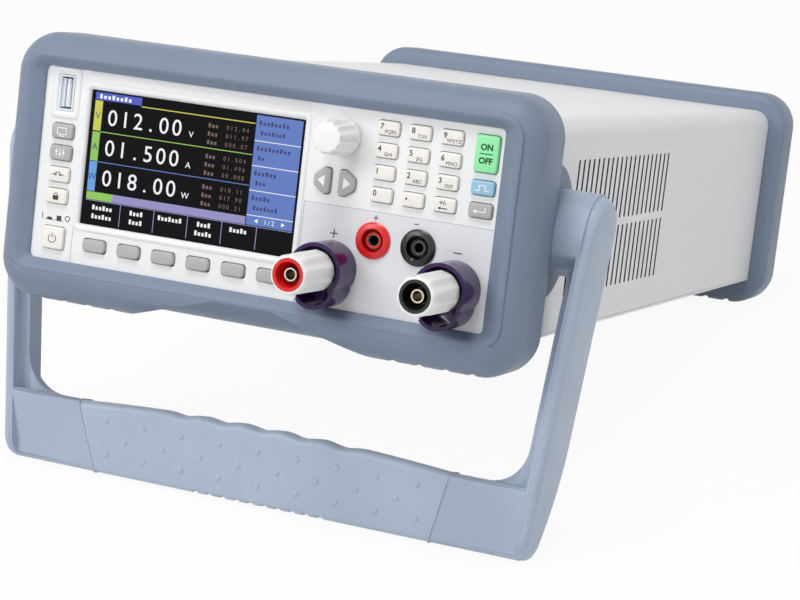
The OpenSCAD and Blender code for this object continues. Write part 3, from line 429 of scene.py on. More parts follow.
INK = 0.05
INK_ROOT = 0.1
CAP_HEIGHT = 0.69
LETTER_STEPS = 4
PRINT_WELD = 0.002
prints = {}


def sheet_of(piece, body, slot, finish):
    if piece not in prints:
        prints[piece] = (bmesh.new(), body, slot, finish)
    return prints[piece][0]


def upright(x, y, z):
    return Matrix(((1, 0, 0, x), (0, 0, -1, y), (0, 1, 0, z), (0, 0, 0, 1)))


def evaluated(obj):
    seen = obj.evaluated_get(bpy.context.evaluated_depsgraph_get())
    return bpy.data.meshes.new_from_object(seen)


def filled(curve):
    obj = bpy.data.objects.new(curve.name, curve)
    scene.collection.objects.link(obj)
    mesh = evaluated(obj)
    bpy.data.objects.remove(obj)
    bpy.data.curves.remove(curve)
    return mesh


def lettering(bm, text, x, z, height, y, weight=0):
    curve = bpy.data.curves.new("lettering", "FONT")
    curve.body = text
    curve.align_x = "CENTER"
    curve.offset = weight
    curve.size = height / CAP_HEIGHT
    curve.resolution_u = LETTER_STEPS
    curve.extrude = (INK + INK_ROOT) / 2
    mesh = filled(curve)
    mesh.transform(upright(x, y + (INK_ROOT - INK) / 2, z - height / 2))
    bm.from_mesh(mesh)
    bpy.data.meshes.remove(mesh)


def mark(bm, outline, y):
    prism(bm, outline, y - INK, y + INK_ROOT)


def place_prints():
    for piece, (bm, body, slot, finish) in prints.items():
        bmesh.ops.remove_doubles(bm, verts=bm.verts, dist=PRINT_WELD)
        add_piece(piece, mesh_of(bm), body, finish)


# Mouldings: welded copies with smooth curves

OUTWARD = 0.1


def moulding(node, finish):
    mesh = mesh_of(welded(node))
    return add_piece(node + "_moulding", mesh, body_of(node), finish, (node,))


def make_cover():
    # Outside faces take the case paint; inside faces and slot walls take a dark grey that is
    # painted shade, so that the vent slots show dark
    mesh = moulding("top_cover", "case_paint").data
    mesh.materials.append(FINISH["case_inside_shade"])
    for polygon in mesh.polygons:
        facing = turn.transposed() @ polygon.normal
        sideways = facing.x * math.copysign(1, polygon.center.x)
        polygon.material_index = 0 if max(sideways, facing.z) > OUTWARD else 1


for node, finish in (("front_bumper", "bumper"), ("rear_bumper", "bumper"),
                     ("post_guards", "guard_purple"), ("post_insert_plus", "terminal_red"),
                     ("post_insert_minus", "terminal_black"), ("sense_jack_plus", "terminal_red"),
                     ("sense_jack_minus", "terminal_black")):
    moulding(node, finish)
make_cover()


# Handle arms: the outer edge is rounded by a shell lofted from the arm's own outer face

ARM_EDGE = 3.8
ARM_STEPS = 6
ARM_LAP = 0.2
ARM_BACK = 55.5
ARM_CHAMFER = 1.6
MITRE_MIN = 0.3
SIDEWAYS = 0.9
CUT_GAP = 0.001


def inset_ring(points, distance):
    ring = []
    for i, point in enumerate(points):
        before = (point - points[i - 1]).normalized()
        after = (points[(i + 1) % len(points)] - point).normalized()
        mitre = Vector((-before.y - after.y, before.x + after.x)).normalized()
        lean = mitre.dot(Vector((-after.y, after.x)))
        ring.append(point + mitre * distance / max(MITRE_MIN, lean))
    return ring


def arm_shell(bm, face):
    normal = face.normal.copy()
    across = Vector((0, 1, 0))
    along = normal.cross(across)
    start = face.verts[0].co.copy()
    flat = [Vector(((v.co - start).dot(across), (v.co - start).dot(along))) for v in face.verts]
    rings = []
    for step in range(ARM_STEPS + 2):
        swing = math.radians(90 * min(step, ARM_STEPS) / ARM_STEPS)
        depth = ARM_EDGE * (1 - math.cos(swing)) + (ARM_LAP if step > ARM_STEPS else 0)
        edge = inset_ring(flat, ARM_EDGE * (1 - math.sin(swing)))
        limit = ARM_BACK - ARM_CHAMFER * depth - start.y
        rings.append([start + across * min(p.x, limit) + along * p.y - normal * depth
                      for p in edge])
    loft(bm, rings)


def make_handle_frame():
    bm = welded("handle_frame")
    shells = bmesh.new()
    for side in (-1, 1):
        faces = [f for f in bm.faces
                 if f.normal.x * side > SIDEWAYS and f.calc_center_median().x * side > 0]
        outer = max(faces, key=lambda f: f.calc_area())
        arm_shell(shells, outer)
        normal = outer.normal.copy()
        level = outer.verts[0].co - normal * ARM_EDGE
        whole = bm.verts[:] + bm.edges[:] + bm.faces[:]
        found = bmesh.ops.bisect_plane(bm, geom=whole, dist=CUT_GAP, plane_co=level,
                                       plane_no=normal, clear_outer=True)
        cut = [e for e in found["geom_cut"] if isinstance(e, bmesh.types.BMEdge)]
        bmesh.ops.edgeloop_fill(bm, edges=cut)
        bm.normal_update()
    part = bpy.data.meshes.new("arms")
    shells.to_mesh(part)
    shells.free()
    bm.from_mesh(part)
    add_piece("handle_frame_moulding", mesh_of(bm), "handle", "handle", ("handle_frame",))


make_handle_frame()


# Soft grip: one smooth loft between the seams, finger waves above and grooves below

GRIP_Z0, GRIP_Z1, GRIP_HALF = -131, -100, 85
GRIP_TOP_Y, GRIP_FALL, GRIP_CROWN = 24, 1 / 6, 3.5
GRIP_FACE = (Vector((22.9, -94.5)), Vector((29.4, -131)))
GRIP_BACK = (Vector((39.4, -131)), Vector((41.5, -115.5)), Vector((34.9, -96.5)))
GRIP_EDGES = (2.8, 3, 4, 6, 4)
WAVE_PITCH, WAVE_H, WAVES = 18, 1.2, 5
GROOVE_PITCH, GROOVE_R, GROOVE_D, GROOVES = 6.4, 1.6, 1.3, 10
GROOVE_SPOTS = (-1.57, -1.3, -0.7, 0, 0.7, 1.3, 1.57)
GRIP_STEPS = 80
SEAM_SLOPE = 8 / 31
SEAM_R = 0.55
SEAM_SIDES = 8


def fillet(a, b, c, r, steps=5):
    u, v = (a - b).normalized(), (c - b).normalized()
    half = u.angle(v) / 2
    centre = b + (u + v).normalized() * (r / math.sin(half))
    start, end = b + u * (r / math.tan(half)) - centre, b + v * (r / math.tan(half)) - centre
    swing = start.angle(end)
    points = []
    for share in (i / steps for i in range(steps + 1)):
        blend = start * math.sin(swing * (1 - share)) + end * math.sin(swing * share)
        points.append(centre + blend / math.sin(swing))
    return points


def grip_rise(x):
    crown = GRIP_CROWN * (1 - (x / GRIP_HALF) ** 2)
    if abs(x) >= WAVES * WAVE_PITCH / 2:
        return crown
    return crown - WAVE_H * (1 + math.cos(2 * math.pi * x / WAVE_PITCH)) / 2


def grip_groove(x):
    nearest = GROOVE_PITCH * (math.floor(x / GROOVE_PITCH) + 0.5)
    if abs(nearest) > GROOVE_PITCH * GROOVES / 2 or abs(x - nearest) > GROOVE_R:
        return 0
    return max(0, math.sqrt(GROOVE_R ** 2 - (x - nearest) ** 2) - GROOVE_R + GROOVE_D)


def under_top(start, end, rise):
    def above(p):
        return p.y - GRIP_Z1 - rise + GRIP_FALL * (p.x - GRIP_TOP_Y)
    return start.lerp(end, above(start) / (above(start) - above(end)))


def grip_ring(u):
    rise = grip_rise(u * GRIP_HALF)
    face = under_top(*GRIP_FACE, rise)
    heel = under_top(GRIP_BACK[1], GRIP_BACK[2], rise)
    corners = [face, GRIP_FACE[1], GRIP_BACK[0], GRIP_BACK[1], heel]
    ring = []
    for i, r in enumerate(GRIP_EDGES):
        for y, z in fillet(corners[i - 1], corners[i], corners[(i + 1) % len(corners)], r):
            x = u * (GRIP_HALF + (z - GRIP_Z1) * SEAM_SLOPE)
            ring.append(Vector((x, y, max(z, GRIP_Z0 + grip_groove(x)))))
    return ring


def make_grip():
    foot = GRIP_HALF - (GRIP_Z1 - GRIP_Z0) * SEAM_SLOPE
    spots = [i / GRIP_STEPS for i in range(-GRIP_STEPS, GRIP_STEPS + 1)]
    for i in range(GROOVES):
        middle = GROOVE_PITCH * (i + 0.5 - GROOVES / 2)
        spots += [(middle + step) / foot for step in GROOVE_SPOTS]
    bm = bmesh.new()
    loft(bm, [grip_ring(u) for u in sorted(spots)])
    add_piece("handle_grip_moulding", mesh_of(bm), "handle", "grip", ("handle_grip",),
              smooth=SOFT)


def make_grip_seams():
    bm = bmesh.new()
    for side in (-1, 1):
        normal = Vector((side, 0, -SEAM_SLOPE)).normalized()
        path = grip_ring(side)
        rings = []
        for i, point in enumerate(path):
            run = (path[(i + 1) % len(path)] - path[i - 1]).normalized()
            side_way = run.cross(normal)
            rings.append([point + SEAM_R * (math.cos(a) * side_way + math.sin(a) * normal)
                          for a in full_circle(SEAM_SIDES)])
        loft(bm, rings, closed=True)
    add_piece("grip_seams", mesh_of(bm), "handle", "grip", smooth=ROLLED)


make_grip()
make_grip_seams()


# Fluted knob and post caps: distance from the panel, radius and flute depth along each

KNOB_X, KNOB_Z, KNOB_FLUTES = 34.0, 27.8, 12
KNOB = ((0.6, 6.6, 0), (0.7, 7.2, 0), (1.1, 7.45, 0), (2.6, 7.5, 0.15), (3.6, 7.45, 0.7),
        (9, 7.15, 0.95), (14.8, 6.8, 1.0), (16.0, 6.55, 0.9), (16.6, 6.2, 0.65), (16.93, 5.75, 0.3),
        (17.0, 5.1, 0))
POST_X, POST_Z, POST_FLUTES = (34.65, 86.75), -23.8, 10
CAP = ((14.5, 5.0, 0), (14.5, 7.6, 0), (14.8, 8.1, 0.1), (15.4, 8.3, 0.5), (17, 8.3, 1.1),
       (26, 8.3, 1.15), (34, 8.25, 1.1), (36.2, 8.15, 0.9), (37.8, 7.9, 0.6), (38.8, 7.5, 0.3),
       (39.35, 7.05, 0.1), (39.5, 6.7, 0), (39.45, 6.45, 0), (39.2, 6.36, 0), (36, 6.36, 0),
       (27, 6.36, 0), (27, 5.0, 0))
FLUTE_STEPS = 8
FLUTE_BREADTH = 0.7


def fluted(cx, cz, profile, flutes, closed):
    bm = bmesh.new()
    rings = []
    for reach, radius, depth in profile:
        ring = []
        for a in full_circle(flutes * FLUTE_STEPS):
            r = radius - depth * (0.5 + 0.5 * math.cos(flutes * a)) ** FLUTE_BREADTH
            ring.append((cx + r * math.cos(a), -reach, cz + r * math.sin(a)))
        rings.append(ring)
    loft(bm, rings, closed)
    return mesh_of(bm)


knob_mesh = fluted(KNOB_X, KNOB_Z, KNOB, KNOB_FLUTES, False)
add_piece("encoder_knob_cap", knob_mesh, "knob", "knob_white", ("encoder_knob",),
          smooth=SOFT)
for polarity, x in zip(("plus", "minus"), POST_X):
    cap_mesh = fluted(x, POST_Z, CAP, POST_FLUTES, True)
    add_piece("post_cap_%s_grip" % polarity, cap_mesh, "post_%s_cap" % polarity,
              "cap_white", ("post_cap_" + polarity,), smooth=SOFT)


# Rolled edge of the front bumper's opening: depth, growth across and up, corner radius

OPENING_W, OPENING_H = 201.5, 79.5
FLARE_STEPS = 8
FRONT_FLARE = ((0.4, -0.3, -0.3, 2.2), (-0.7, -0.3, -0.3, 2.2), (-1.1, 0.1, 0.0, 2.5),
               (-1.6, 0.9, 0.5, 3.2), (-3.0, 3.1, 1.7, 4.8), (-3.7, 4.3, 2.4, 5.7),
               (-4.1, 5.4, 3.1, 6.5), (-4.24, 6.6, 3.9, 7.4), (-4.22, 7.6, 4.6, 8.2),
               (-3.9, 8.0, 5.0, 8.6), (-2.4, 6.5, 4.0, 7.5), (0.4, 3.0, 2.0, 4.5))


def make_front_flare():
    bm = bmesh.new()
    loft(bm, [ring_at(y, 0, 0, OPENING_W + 2 * ox, OPENING_H + 2 * oz, r, FLARE_STEPS)
              for y, ox, oz, r in FRONT_FLARE], closed=True)
    add_piece("front_bumper_flare", mesh_of(bm), ROOT, "bumper", smooth=ROLLED)


make_front_flare()


# Grip dots on the front of the grip bar

DOT_R = 1.5
DOT_H = 0.55
DOT_PITCH = 17.8
DOT_ROWS = ((9, -71.2, -107.2), (8, -62.3, -114.9), (9, -71.2, -122.0))
DOT_START_Y = -40
DOT_SIDES, DOT_RINGS = 16, 8
RAY_REACH = 0.3
FRONTWARD = 0.9


def make_dot_tree():
    tree = bpy.data.node_groups.new("grip_dots", "GeometryNodeTree")

    def take(label, kind):
        tree.interface.new_socket(label, in_out="INPUT", socket_type="NodeSocket" + kind)

    take("Geometry", "Geometry")
    for label in ("Step", "Ray", "Face", "Size"):
        take(label, "Vector")
    for i in range(len(DOT_ROWS)):
        take("Row %d" % (i + 1), "Vector")
        take("Dots %d" % (i + 1), "Int")
    take("Material", "Material")
    tree.interface.new_socket("Geometry", in_out="OUTPUT", socket_type="NodeSocketGeometry")
    make, link = tree.nodes.new, tree.links.new
    ins, outs = make("NodeGroupInput"), make("NodeGroupOutput")
    rows = make("GeometryNodeJoinGeometry")
    for i in range(len(DOT_ROWS)):
        line = make("GeometryNodeMeshLine")
        link(ins.outputs["Dots %d" % (i + 1)], line.inputs["Count"])
        link(ins.outputs["Row %d" % (i + 1)], line.inputs["Start Location"])
        link(ins.outputs["Step"], line.inputs["Offset"])
        link(line.outputs["Mesh"], rows.inputs["Geometry"])
    ray = make("GeometryNodeRaycast")
    link(ins.outputs["Geometry"], ray.inputs["Target Geometry"])
    link(ins.outputs["Ray"], ray.inputs["Ray Direction"])
    ray.inputs["Ray Length"].default_value = RAY_REACH
    land = make("GeometryNodeSetPosition")
    link(rows.outputs["Geometry"], land.inputs["Geometry"])
    link(ray.outputs["Hit Position"], land.inputs["Position"])
    dome = make("GeometryNodeMeshUVSphere")
    dome.inputs["Segments"].default_value = DOT_SIDES
    dome.inputs["Rings"].default_value = DOT_RINGS
    align = make("FunctionNodeAlignRotationToVector")
    align.axis = "Z"
    link(ins.outputs["Face"], align.inputs["Vector"])
    dots = make("GeometryNodeInstanceOnPoints")
    link(land.outputs["Geometry"], dots.inputs["Points"])
    link(dome.outputs["Mesh"], dots.inputs["Instance"])
    link(align.outputs["Rotation"], dots.inputs["Rotation"])
    link(ins.outputs["Size"], dots.inputs["Scale"])
    real = make("GeometryNodeRealizeInstances")
    link(dots.outputs["Instances"], real.inputs["Geometry"])
    paint = make("GeometryNodeSetMaterial")
    link(real.outputs["Geometry"], paint.inputs["Geometry"])
    link(ins.outputs["Material"], paint.inputs["Material"])
    link(paint.outputs["Geometry"], outs.inputs["Geometry"])
    return tree


def grown(name, base_mesh, tree, values):
    obj = bpy.data.objects.new(name, base_mesh)
    scene.collection.objects.link(obj)
    modifier = obj.modifiers.new(name, "NODES")
    modifier.node_group = tree
    sockets = {s.name: s.identifier for s in tree.interface.items_tree if s.in_out == "INPUT"}
    for label, value in values.items():
        modifier[sockets[label]] = value
    mesh = evaluated(obj)
    obj.modifiers.remove(modifier)
    bpy.data.objects.remove(obj)
    return mesh


def make_grip_dots():
    bm = welded("handle_grip")
    front = max((f for f in bm.faces if f.normal.y < -FRONTWARD), key=lambda f: f.calc_area())
    facing = turn @ front.normal
    values = {"Step": Vector((DOT_PITCH * MM, 0, 0)), "Ray": back, "Face": facing,
              "Size": Vector((DOT_R, DOT_R, DOT_H)) * MM, "Material": FINISH["grip"]}
    for i, (count, x, z) in enumerate(DOT_ROWS):
        values["Row %d" % (i + 1)] = PLACE @ Vector((x, DOT_START_Y, z))
        values["Dots %d" % (i + 1)] = count
    mesh = grown("grip_dots", mesh_of(bm), make_dot_tree(), values)
    add_piece("grip_dots", mesh, "handle", "grip", smooth=ROLLED)


make_grip_dots()


# Key caps, with soft shoulders in place of the plain solids, and their legends

KEY_ROOT = 2.0
SOFT_CORNER = 1.9
FACING, FACE_SKIN = 0.99, 0.05
KEY_SHOULDER = ((1.2, 0), (0.5, 0.05), (0.22, 0.17), (0.07, 0.38), (0, 0.7))

# Legends: widths of lines, weights of letters, and places about the middle of each key
FINE_LINE, SLIDER_LINE, CONTACT_LINE, LINE, OVER = 0.32, 0.3, 0.35, 0.36, 0.01
LEGEND_WEIGHT, BOLD_WEIGHT = 0.05, 0.14
DIGIT_X, DIGIT_Z, DIGIT_H = -2.6, 0.7, 2.2
LETTERS_X, LETTERS_Z, LETTERS_H = 1.2, -1.2, 1.4
SIGN_X, SIGN_Z, SIGN_H = -0.4, 0.9, 1.8
POINT_X, POINT_Z, POINT_W, POINT_R = -2.4, 0.3, 0.9, 0.44
ON_OFF_Z, ON_OFF_H, ON_OFF_HALF = 2.6, 2.2, 2.6
ARROW_TIP, ARROW_TAIL, ARROW_HALF = 1.7, 1.3, 2.3
PULSE = ((-2.8, -1), (-1.2, -1), (-1.2, 1), (1.2, 1), (1.2, -1), (2.8, -1))
SLIDERS = ((-1.6, 0.5), (0, -0.6), (1.6, 0.2))
RING_TURN, RING_STEPS = 359, 16
LETTERS = {"key_2": "ABC", "key_3": "DEF", "key_4": "GHI", "key_5": "JKL", "key_6": "MNO",
           "key_7": "PQRS", "key_8": "TUV", "key_9": "WXYZ"}


def front_outline(node):
    bm = welded(node)
    bmesh.ops.recalc_face_normals(bm, faces=bm.faces)
    front = min(v.co.y for v in bm.verts)
    flats = [f for f in bm.faces
             if f.normal.y < -FACING and f.calc_center_median().y < front + FACE_SKIN]
    face = max(flats, key=lambda f: f.calc_area())
    outline = [(v.co.x, v.co.z) for v in face.verts]
    bm.free()
    return outline, front


def key_cap(node, finish, corner=0):
    outline, front = front_outline(node)
    xs, zs = [p[0] for p in outline], [p[1] for p in outline]
    cx, cz = (min(xs) + max(xs)) / 2, (min(zs) + max(zs)) / 2
    half_w, half_h = (max(xs) - min(xs)) / 2, (max(zs) - min(zs)) / 2
    if corner:
        outline = rounded_rect(cx, cz, 2 * half_w, 2 * half_h, corner)

    def ring(y, inset):
        return [(cx + (x - cx) * (1 - inset / half_w), y, cz + (z - cz) * (1 - inset / half_h))
                for x, z in outline]
    bm = bmesh.new()
    loft(bm, [ring(KEY_ROOT, 0)] + [ring(front + y, inset) for y, inset in KEY_SHOULDER])
    add_piece(node + "_cap", mesh_of(bm), body_of(node), finish, (node,), smooth=SOFT)
    return cx, cz, front


def draw_arrow(bm, cx, cz, y, direction):
    tip = cx + ARROW_TIP * direction
    tail = cx - ARROW_TAIL * direction
    mark(bm, [(tip, cz), (tail, cz + ARROW_HALF), (tail, cz - ARROW_HALF)], y)


def draw_screen(bm, cx, cz, y):
    for side in (-1, 1):
        mark(bm, bar(cx - 2.2, cz + 1.3 * side, cx + 2.2, cz + 1.3 * side, FINE_LINE), y)
        x = cx + 2.04 * side
        mark(bm, bar(x, cz - 1.3, x, cz + 1.3, FINE_LINE), y - OVER)
    mark(bm, bar(cx - 1.2, cz - 2.0, cx + 1.2, cz - 2.0, FINE_LINE), y)


def draw_sliders(bm, cx, cz, y):
    for dx, dz in SLIDERS:
        mark(bm, bar(cx + dx, cz - 1.7, cx + dx, cz + 1.7, SLIDER_LINE), y)
        mark(bm, rounded_rect(cx + dx, cz + dz, 1.1, 0.7, 0.2, 3), y - OVER)


def draw_contact(bm, cx, cz, y):
    mark(bm, bar(cx - 2.6, cz, cx - 1, cz, CONTACT_LINE), y)
    mark(bm, bar(cx + 1, cz, cx + 2.6, cz, CONTACT_LINE), y)
    for x in (cx - 1, cx + 1):
        mark(bm, band(x, cz, 0.35, 0.3, 0, RING_TURN, RING_STEPS), y)
    mark(bm, bar(cx - 1, cz + 0.9, cx + 1, cz + 0.9, CONTACT_LINE), y)


def draw_padlock(bm, cx, cz, y):
    mark(bm, rounded_rect(cx, cz - 0.6, 2.6, 1.8, 0.25, 3), y)
    mark(bm, band(cx, cz + 0.5, 0.8, CONTACT_LINE, 0, 180, RING_STEPS), y)
    for x in (cx - 0.8, cx + 0.8):
        mark(bm, bar(x, cz + 0.2, x, cz + 0.55, CONTACT_LINE), y)


def draw_pulse(bm, cx, cz, y):
    for (x0, z0), (x1, z1) in zip(PULSE, PULSE[1:]):
        reach = LINE / 2 if z0 == z1 else 0
        lift = math.copysign(LINE / 2 if x0 == x1 else 0, z1 - z0)
        mark(bm, bar(cx + x0 - reach, cz + z0 - lift, cx + x1 + reach, cz + z1 + lift, LINE), y)


def draw_return(bm, cx, cz, y):
    mark(bm, bar(cx - 1.6, cz - 0.4, cx + 2.2, cz - 0.4, LINE), y)
    mark(bm, bar(cx + 2.2, cz - 0.58, cx + 2.2, cz + 1.3, LINE), y)
    mark(bm, [(cx - 2.8, cz - 0.4), (cx - 1.4, cz + 0.5), (cx - 1.4, cz - 1.3)], y)


def draw_back_arrow(bm, cx, cz, y):
    mark(bm, bar(cx - 1.4, cz, cx + 1.6, cz, LINE), y)
    mark(bm, [(cx - 2.4, cz), (cx - 1.2, cz + 0.6), (cx - 1.2, cz - 0.6)], y)


def draw_power(bm, cx, cz, y):
    mark(bm, band(cx, cz - 0.2, 1.7, FINE_LINE, 125, 415, 32), y)
    mark(bm, bar(cx, cz + 0.1, cx, cz + 2.1, FINE_LINE), y)


SYMBOLS = {"key_display": draw_screen, "key_setup": draw_sliders, "key_short": draw_contact,
           "key_lock": draw_padlock, "key_trigger": draw_pulse, "key_enter": draw_return,
           "power_button": draw_power}
WHITE_LEGENDS = ("key_trigger", "key_enter", "key_display", "key_setup")


def legend(node, cx, cz, y):
    ink = "ink_white" if node in WHITE_LEGENDS else "ink_dark"
    if node == "key_on_off":
        ink = "ink_green"
    bm = sheet_of(node + "_legend", body_of(node), KEY_FINISH.get(node, "key_ivory"), ink)
    if node in SYMBOLS:
        SYMBOLS[node](bm, cx, cz, y)
    elif node == "key_on_off":
        lettering(bm, "ON", cx, cz + ON_OFF_Z, ON_OFF_H, y, BOLD_WEIGHT)
        mark(bm, bar(cx - ON_OFF_HALF, cz, cx + ON_OFF_HALF, cz, LINE), y)
        lettering(bm, "OFF", cx, cz - ON_OFF_Z, ON_OFF_H, y, BOLD_WEIGHT)
    elif node == "key_dot":
        mark(bm, rounded_rect(cx + POINT_X, cz + POINT_Z, POINT_W, POINT_W, POINT_R, 4), y)
    elif node == "key_sign":
        lettering(bm, "+/-", cx + SIGN_X, cz + SIGN_Z, SIGN_H, y, LEGEND_WEIGHT)
        draw_back_arrow(bm, cx, cz - 1.3, y)
    else:
        lettering(bm, node[-1], cx + DIGIT_X, cz + DIGIT_Z, DIGIT_H, y, LEGEND_WEIGHT)
        if node in LETTERS:
            lettering(bm, LETTERS[node], cx + LETTERS_X, cz + LETTERS_Z, LETTERS_H, y)


for node in sorted(nodes):
    if node == "power_button":
        legend(node, *key_cap(node, "key_ivory"))
    elif node in ("key_left", "key_right"):
        cx, cz, y = key_cap(node, "key_grey")
        bm = sheet_of(node + "_legend", body_of(node), "key_grey", "ink_white")
        draw_arrow(bm, cx, cz, y, -1 if node == "key_left" else 1)
    elif node.startswith("soft_key_"):
        key_cap(node, "key_grey", SOFT_CORNER)
    elif node.startswith("key_"):
        legend(node, *key_cap(node, KEY_FINISH.get(node, "key_ivory")))


# Panel trim: each rim has depth, growth and corner radius, the label strip depth and inset

LCD_X, LCD_Z, LCD_W, LCD_H = -31.17, 4.57, 95.04, 53.86
GLASS_Y = 0.8
BEZEL = ((0.05, 3.6, 2.6), (-0.35, 3.2, 2.4), (-0.5, 2.6, 2.1), (-0.5, 2.1, 1.8), (-0.3, 1.2, 0.8),
         (0.75, 0.5, 0.4), (0.95, 0.5, 0.4), (0.95, 1.6, 1), (0.6, 3.4, 2.5))
PORT_X, PORT_Z, PORT_W, PORT_H = -90.6, 29.1, 7.0, 14.5
PORT_RIM = ((0.05, 3.2, 1.9), (-0.45, 2.9, 1.8), (-0.6, 2.4, 1.6), (-0.6, 0.9, 0.9),
            (-0.35, 0.35, 0.6), (0.6, 0.3, 0.6), (0.6, 3.0, 1.8))
LABEL_X, LABEL_Z, LABEL_W, LABEL_H, LABEL_R = -31.3, 36.9, 99.4, 4.0, 0.8
LABEL = ((0.05, 0), (-0.07, 0), (-0.22, 0.15))


def rim(name, cx, cz, w, h, levels):
    bm = bmesh.new()
    loft(bm, [ring_at(y, cx, cz, w + 2 * out, h + 2 * out, r) for y, out, r in levels], closed=True)
    add_piece(name, mesh_of(bm), ROOT, "panel", smooth=SOFT)


def make_label_strip():
    bm = bmesh.new()
    loft(bm, [ring_at(y, LABEL_X, LABEL_Z, LABEL_W - 2 * inset, LABEL_H - 2 * inset, LABEL_R)
              for y, inset in LABEL])
    add_piece("label_strip", mesh_of(bm), ROOT, "ink_white", smooth=SOFT)


rim("display_bezel", LCD_X, LCD_Z, LCD_W, LCD_H, BEZEL)
rim("port_rim", PORT_X, PORT_Z, PORT_W, PORT_H, PORT_RIM)
make_label_strip()


# Input plate, with holes for the sense jacks

PLATE = (60.6, -19.4, 80.0, 40.0, 1.0)
PLATE_HALF_T, PLATE_Y, PLATE_WELD = 0.12, -0.08, 0.001
JACK_X, JACK_Z, JACK_HOLE, HOLE_STEPS = (51.2, 70.2), -10.5, 6.0, 48


def make_input_plate():
    curve = bpy.data.curves.new("plate", "CURVE")
    curve.dimensions = "2D"
    curve.fill_mode = "BOTH"
    curve.extrude = PLATE_HALF_T
    holes = [arc(x, JACK_Z, JACK_HOLE, full_circle(HOLE_STEPS)) for x in JACK_X]
    for points in [rounded_rect(*PLATE)] + holes:
        spline = curve.splines.new("POLY")
        spline.points.add(len(points) - 1)
        for point, (x, z) in zip(spline.points, points):
            point.co = (x, z, 0, 1)
        spline.use_cyclic_u = True
    bm = bmesh.new()
    bm.from_mesh(filled(curve))
    bmesh.ops.remove_doubles(bm, verts=bm.verts, dist=PLATE_WELD)
    bm.transform(upright(0, PLATE_Y, 0))
    add_piece("input_plate", mesh_of(bm), ROOT, "plate_grey", smooth=SOFT)


make_input_plate()


# Lines moulded in the panel, and its marks: ends, width and place in depth of each

PANEL_SEAMS = ((-81.6, -40, -81.6, 34, 0.22, 0), (20.3, -40, 20.3, 0.8, 0.3, -0.02),
               (20.15, 0.7, 101, 0.7, 0.3, -0.02))
SIGNS = ((34.4, -10.1, 1.7, 0.45, "+"), (86.6, -10.1, 1.7, 0.45, "-"),
         (51.3, -1.6, 1.0, 0.35, "+"), (68.4, -1.6, 1.0, 0.35, "-"))
PANEL_SIGN_Y = -0.2
SWITCH_LINE, SWITCH_BASE, SWITCH_TOP, SWITCH_Z = 0.35, -23.2, -20.6, -21.9
SWITCH_ON_X, SWITCH_OFF_X = -96.4, -84.6
SWITCH_STATES = ((-93.0, 0.9), (-88.6, 1.9))
BUTTON_HALF, BUTTON_FOOT, SILL_HALF, SILL_LINE = 1.1, -23.1, 1.9, 0.3


def panel_lines():
    bm = sheet_of("panel_seams", ROOT, "panel", "seam_shadow")
    for x0, z0, x1, z1, width, y in PANEL_SEAMS:
        mark(bm, bar(x0, z0, x1, z1, width), y)


def panel_marks():
    bm = sheet_of("panel_marks", ROOT, "panel", "ink_dark")
    for x, z, half, width, sign in SIGNS:
        mark(bm, bar(x - half, z, x + half, z, width), PANEL_SIGN_Y)
        if sign == "+":
            mark(bm, bar(x, z - half, x, z + half, width), PANEL_SIGN_Y - OVER)
    mark(bm, bar(SWITCH_ON_X, SWITCH_BASE, SWITCH_ON_X, SWITCH_TOP, SWITCH_LINE), 0)
    mark(bm, band(SWITCH_OFF_X, SWITCH_Z, 1.0, SWITCH_LINE, 0, RING_TURN), 0)
    for x, height in SWITCH_STATES:
        top = BUTTON_FOOT + height
        mark(bm, box_outline(x - BUTTON_HALF, BUTTON_FOOT, x + BUTTON_HALF, top), 0)
        mark(bm, bar(x - SILL_HALF, SWITCH_BASE, x + SILL_HALF, SWITCH_BASE, SILL_LINE), -OVER)


panel_lines()
panel_marks()


# Screen picture, from the top left corner of the glass

SCREEN_LAYER = 0.03
BLOCK_FILL, BLOCK_LOW = 0.62, 0.72
ROW_LEFT, ROW_RIGHT = 1.3, 94.5
TAB_RIGHT, COLUMN_LEFT, COLUMN_RIGHT = 4.8, 73.8, 74.2
ROWS = (("012.00", "V", 9.9, 9.7, ("012.04", "011.97", "000.07")),
        ("01.500", "A", 22.2, 22.2, ("01.504", "01.496", "00.008")),
        ("018.00", "W", 34.5, 34.4, ("018.11", "017.90", "000.21")))
MENU = ((0.2, 8, 7), (10.2, 9, 2), (20.1, 6, 3), (29.9, 5, 7))
MENU_LINES = (10.2, 20.1, 29.9, 39.75)
TAB_LINES = (17.5, 33.0, 48.3, 63.75, 79.2)
TABS = (((6, 6), 9.4), ((4, 4), 25.2), ((7,), 40.6), ((4, 5), 56.0), ((5,), 71.4))
PAGE_Z = 41.9
PAGE_ARROWS = ((78.6, -1), (90.4, 1))


def on_screen(x, z):
    return LCD_X - LCD_W / 2 + x, LCD_Z + LCD_H / 2 - z


def patch(finish, x0, z0, x1, z1, layer=0):
    bm = sheet_of(finish + "_areas", ROOT, "display_glass", finish)
    left, top = on_screen(x0, z0)
    end, bottom = on_screen(x1, z1)
    mark(bm, box_outline(left, bottom, end, top), GLASS_Y - SCREEN_LAYER * layer)


def digits(finish, text, x, z, height, pitch, layer=1):
    bm = sheet_of(finish + "_text", ROOT, "display_glass", finish)
    for i, character in enumerate(text):
        px, pz = on_screen(x + i * pitch, z)
        lettering(bm, character, px, pz, height, GLASS_Y - SCREEN_LAYER * layer)


def word_blocks(finish, x, z, count, height, pitch, layer=1):
    bm = sheet_of(finish + "_text", ROOT, "display_glass", finish)
    for i in range(count):
        tall = height if i % 3 == 0 else height * BLOCK_LOW
        left, low = on_screen(x + i * pitch, z + height / 2)
        outline = box_outline(left, low, left + pitch * BLOCK_FILL, low + tall)
        mark(bm, outline, GLASS_Y - SCREEN_LAYER * layer)


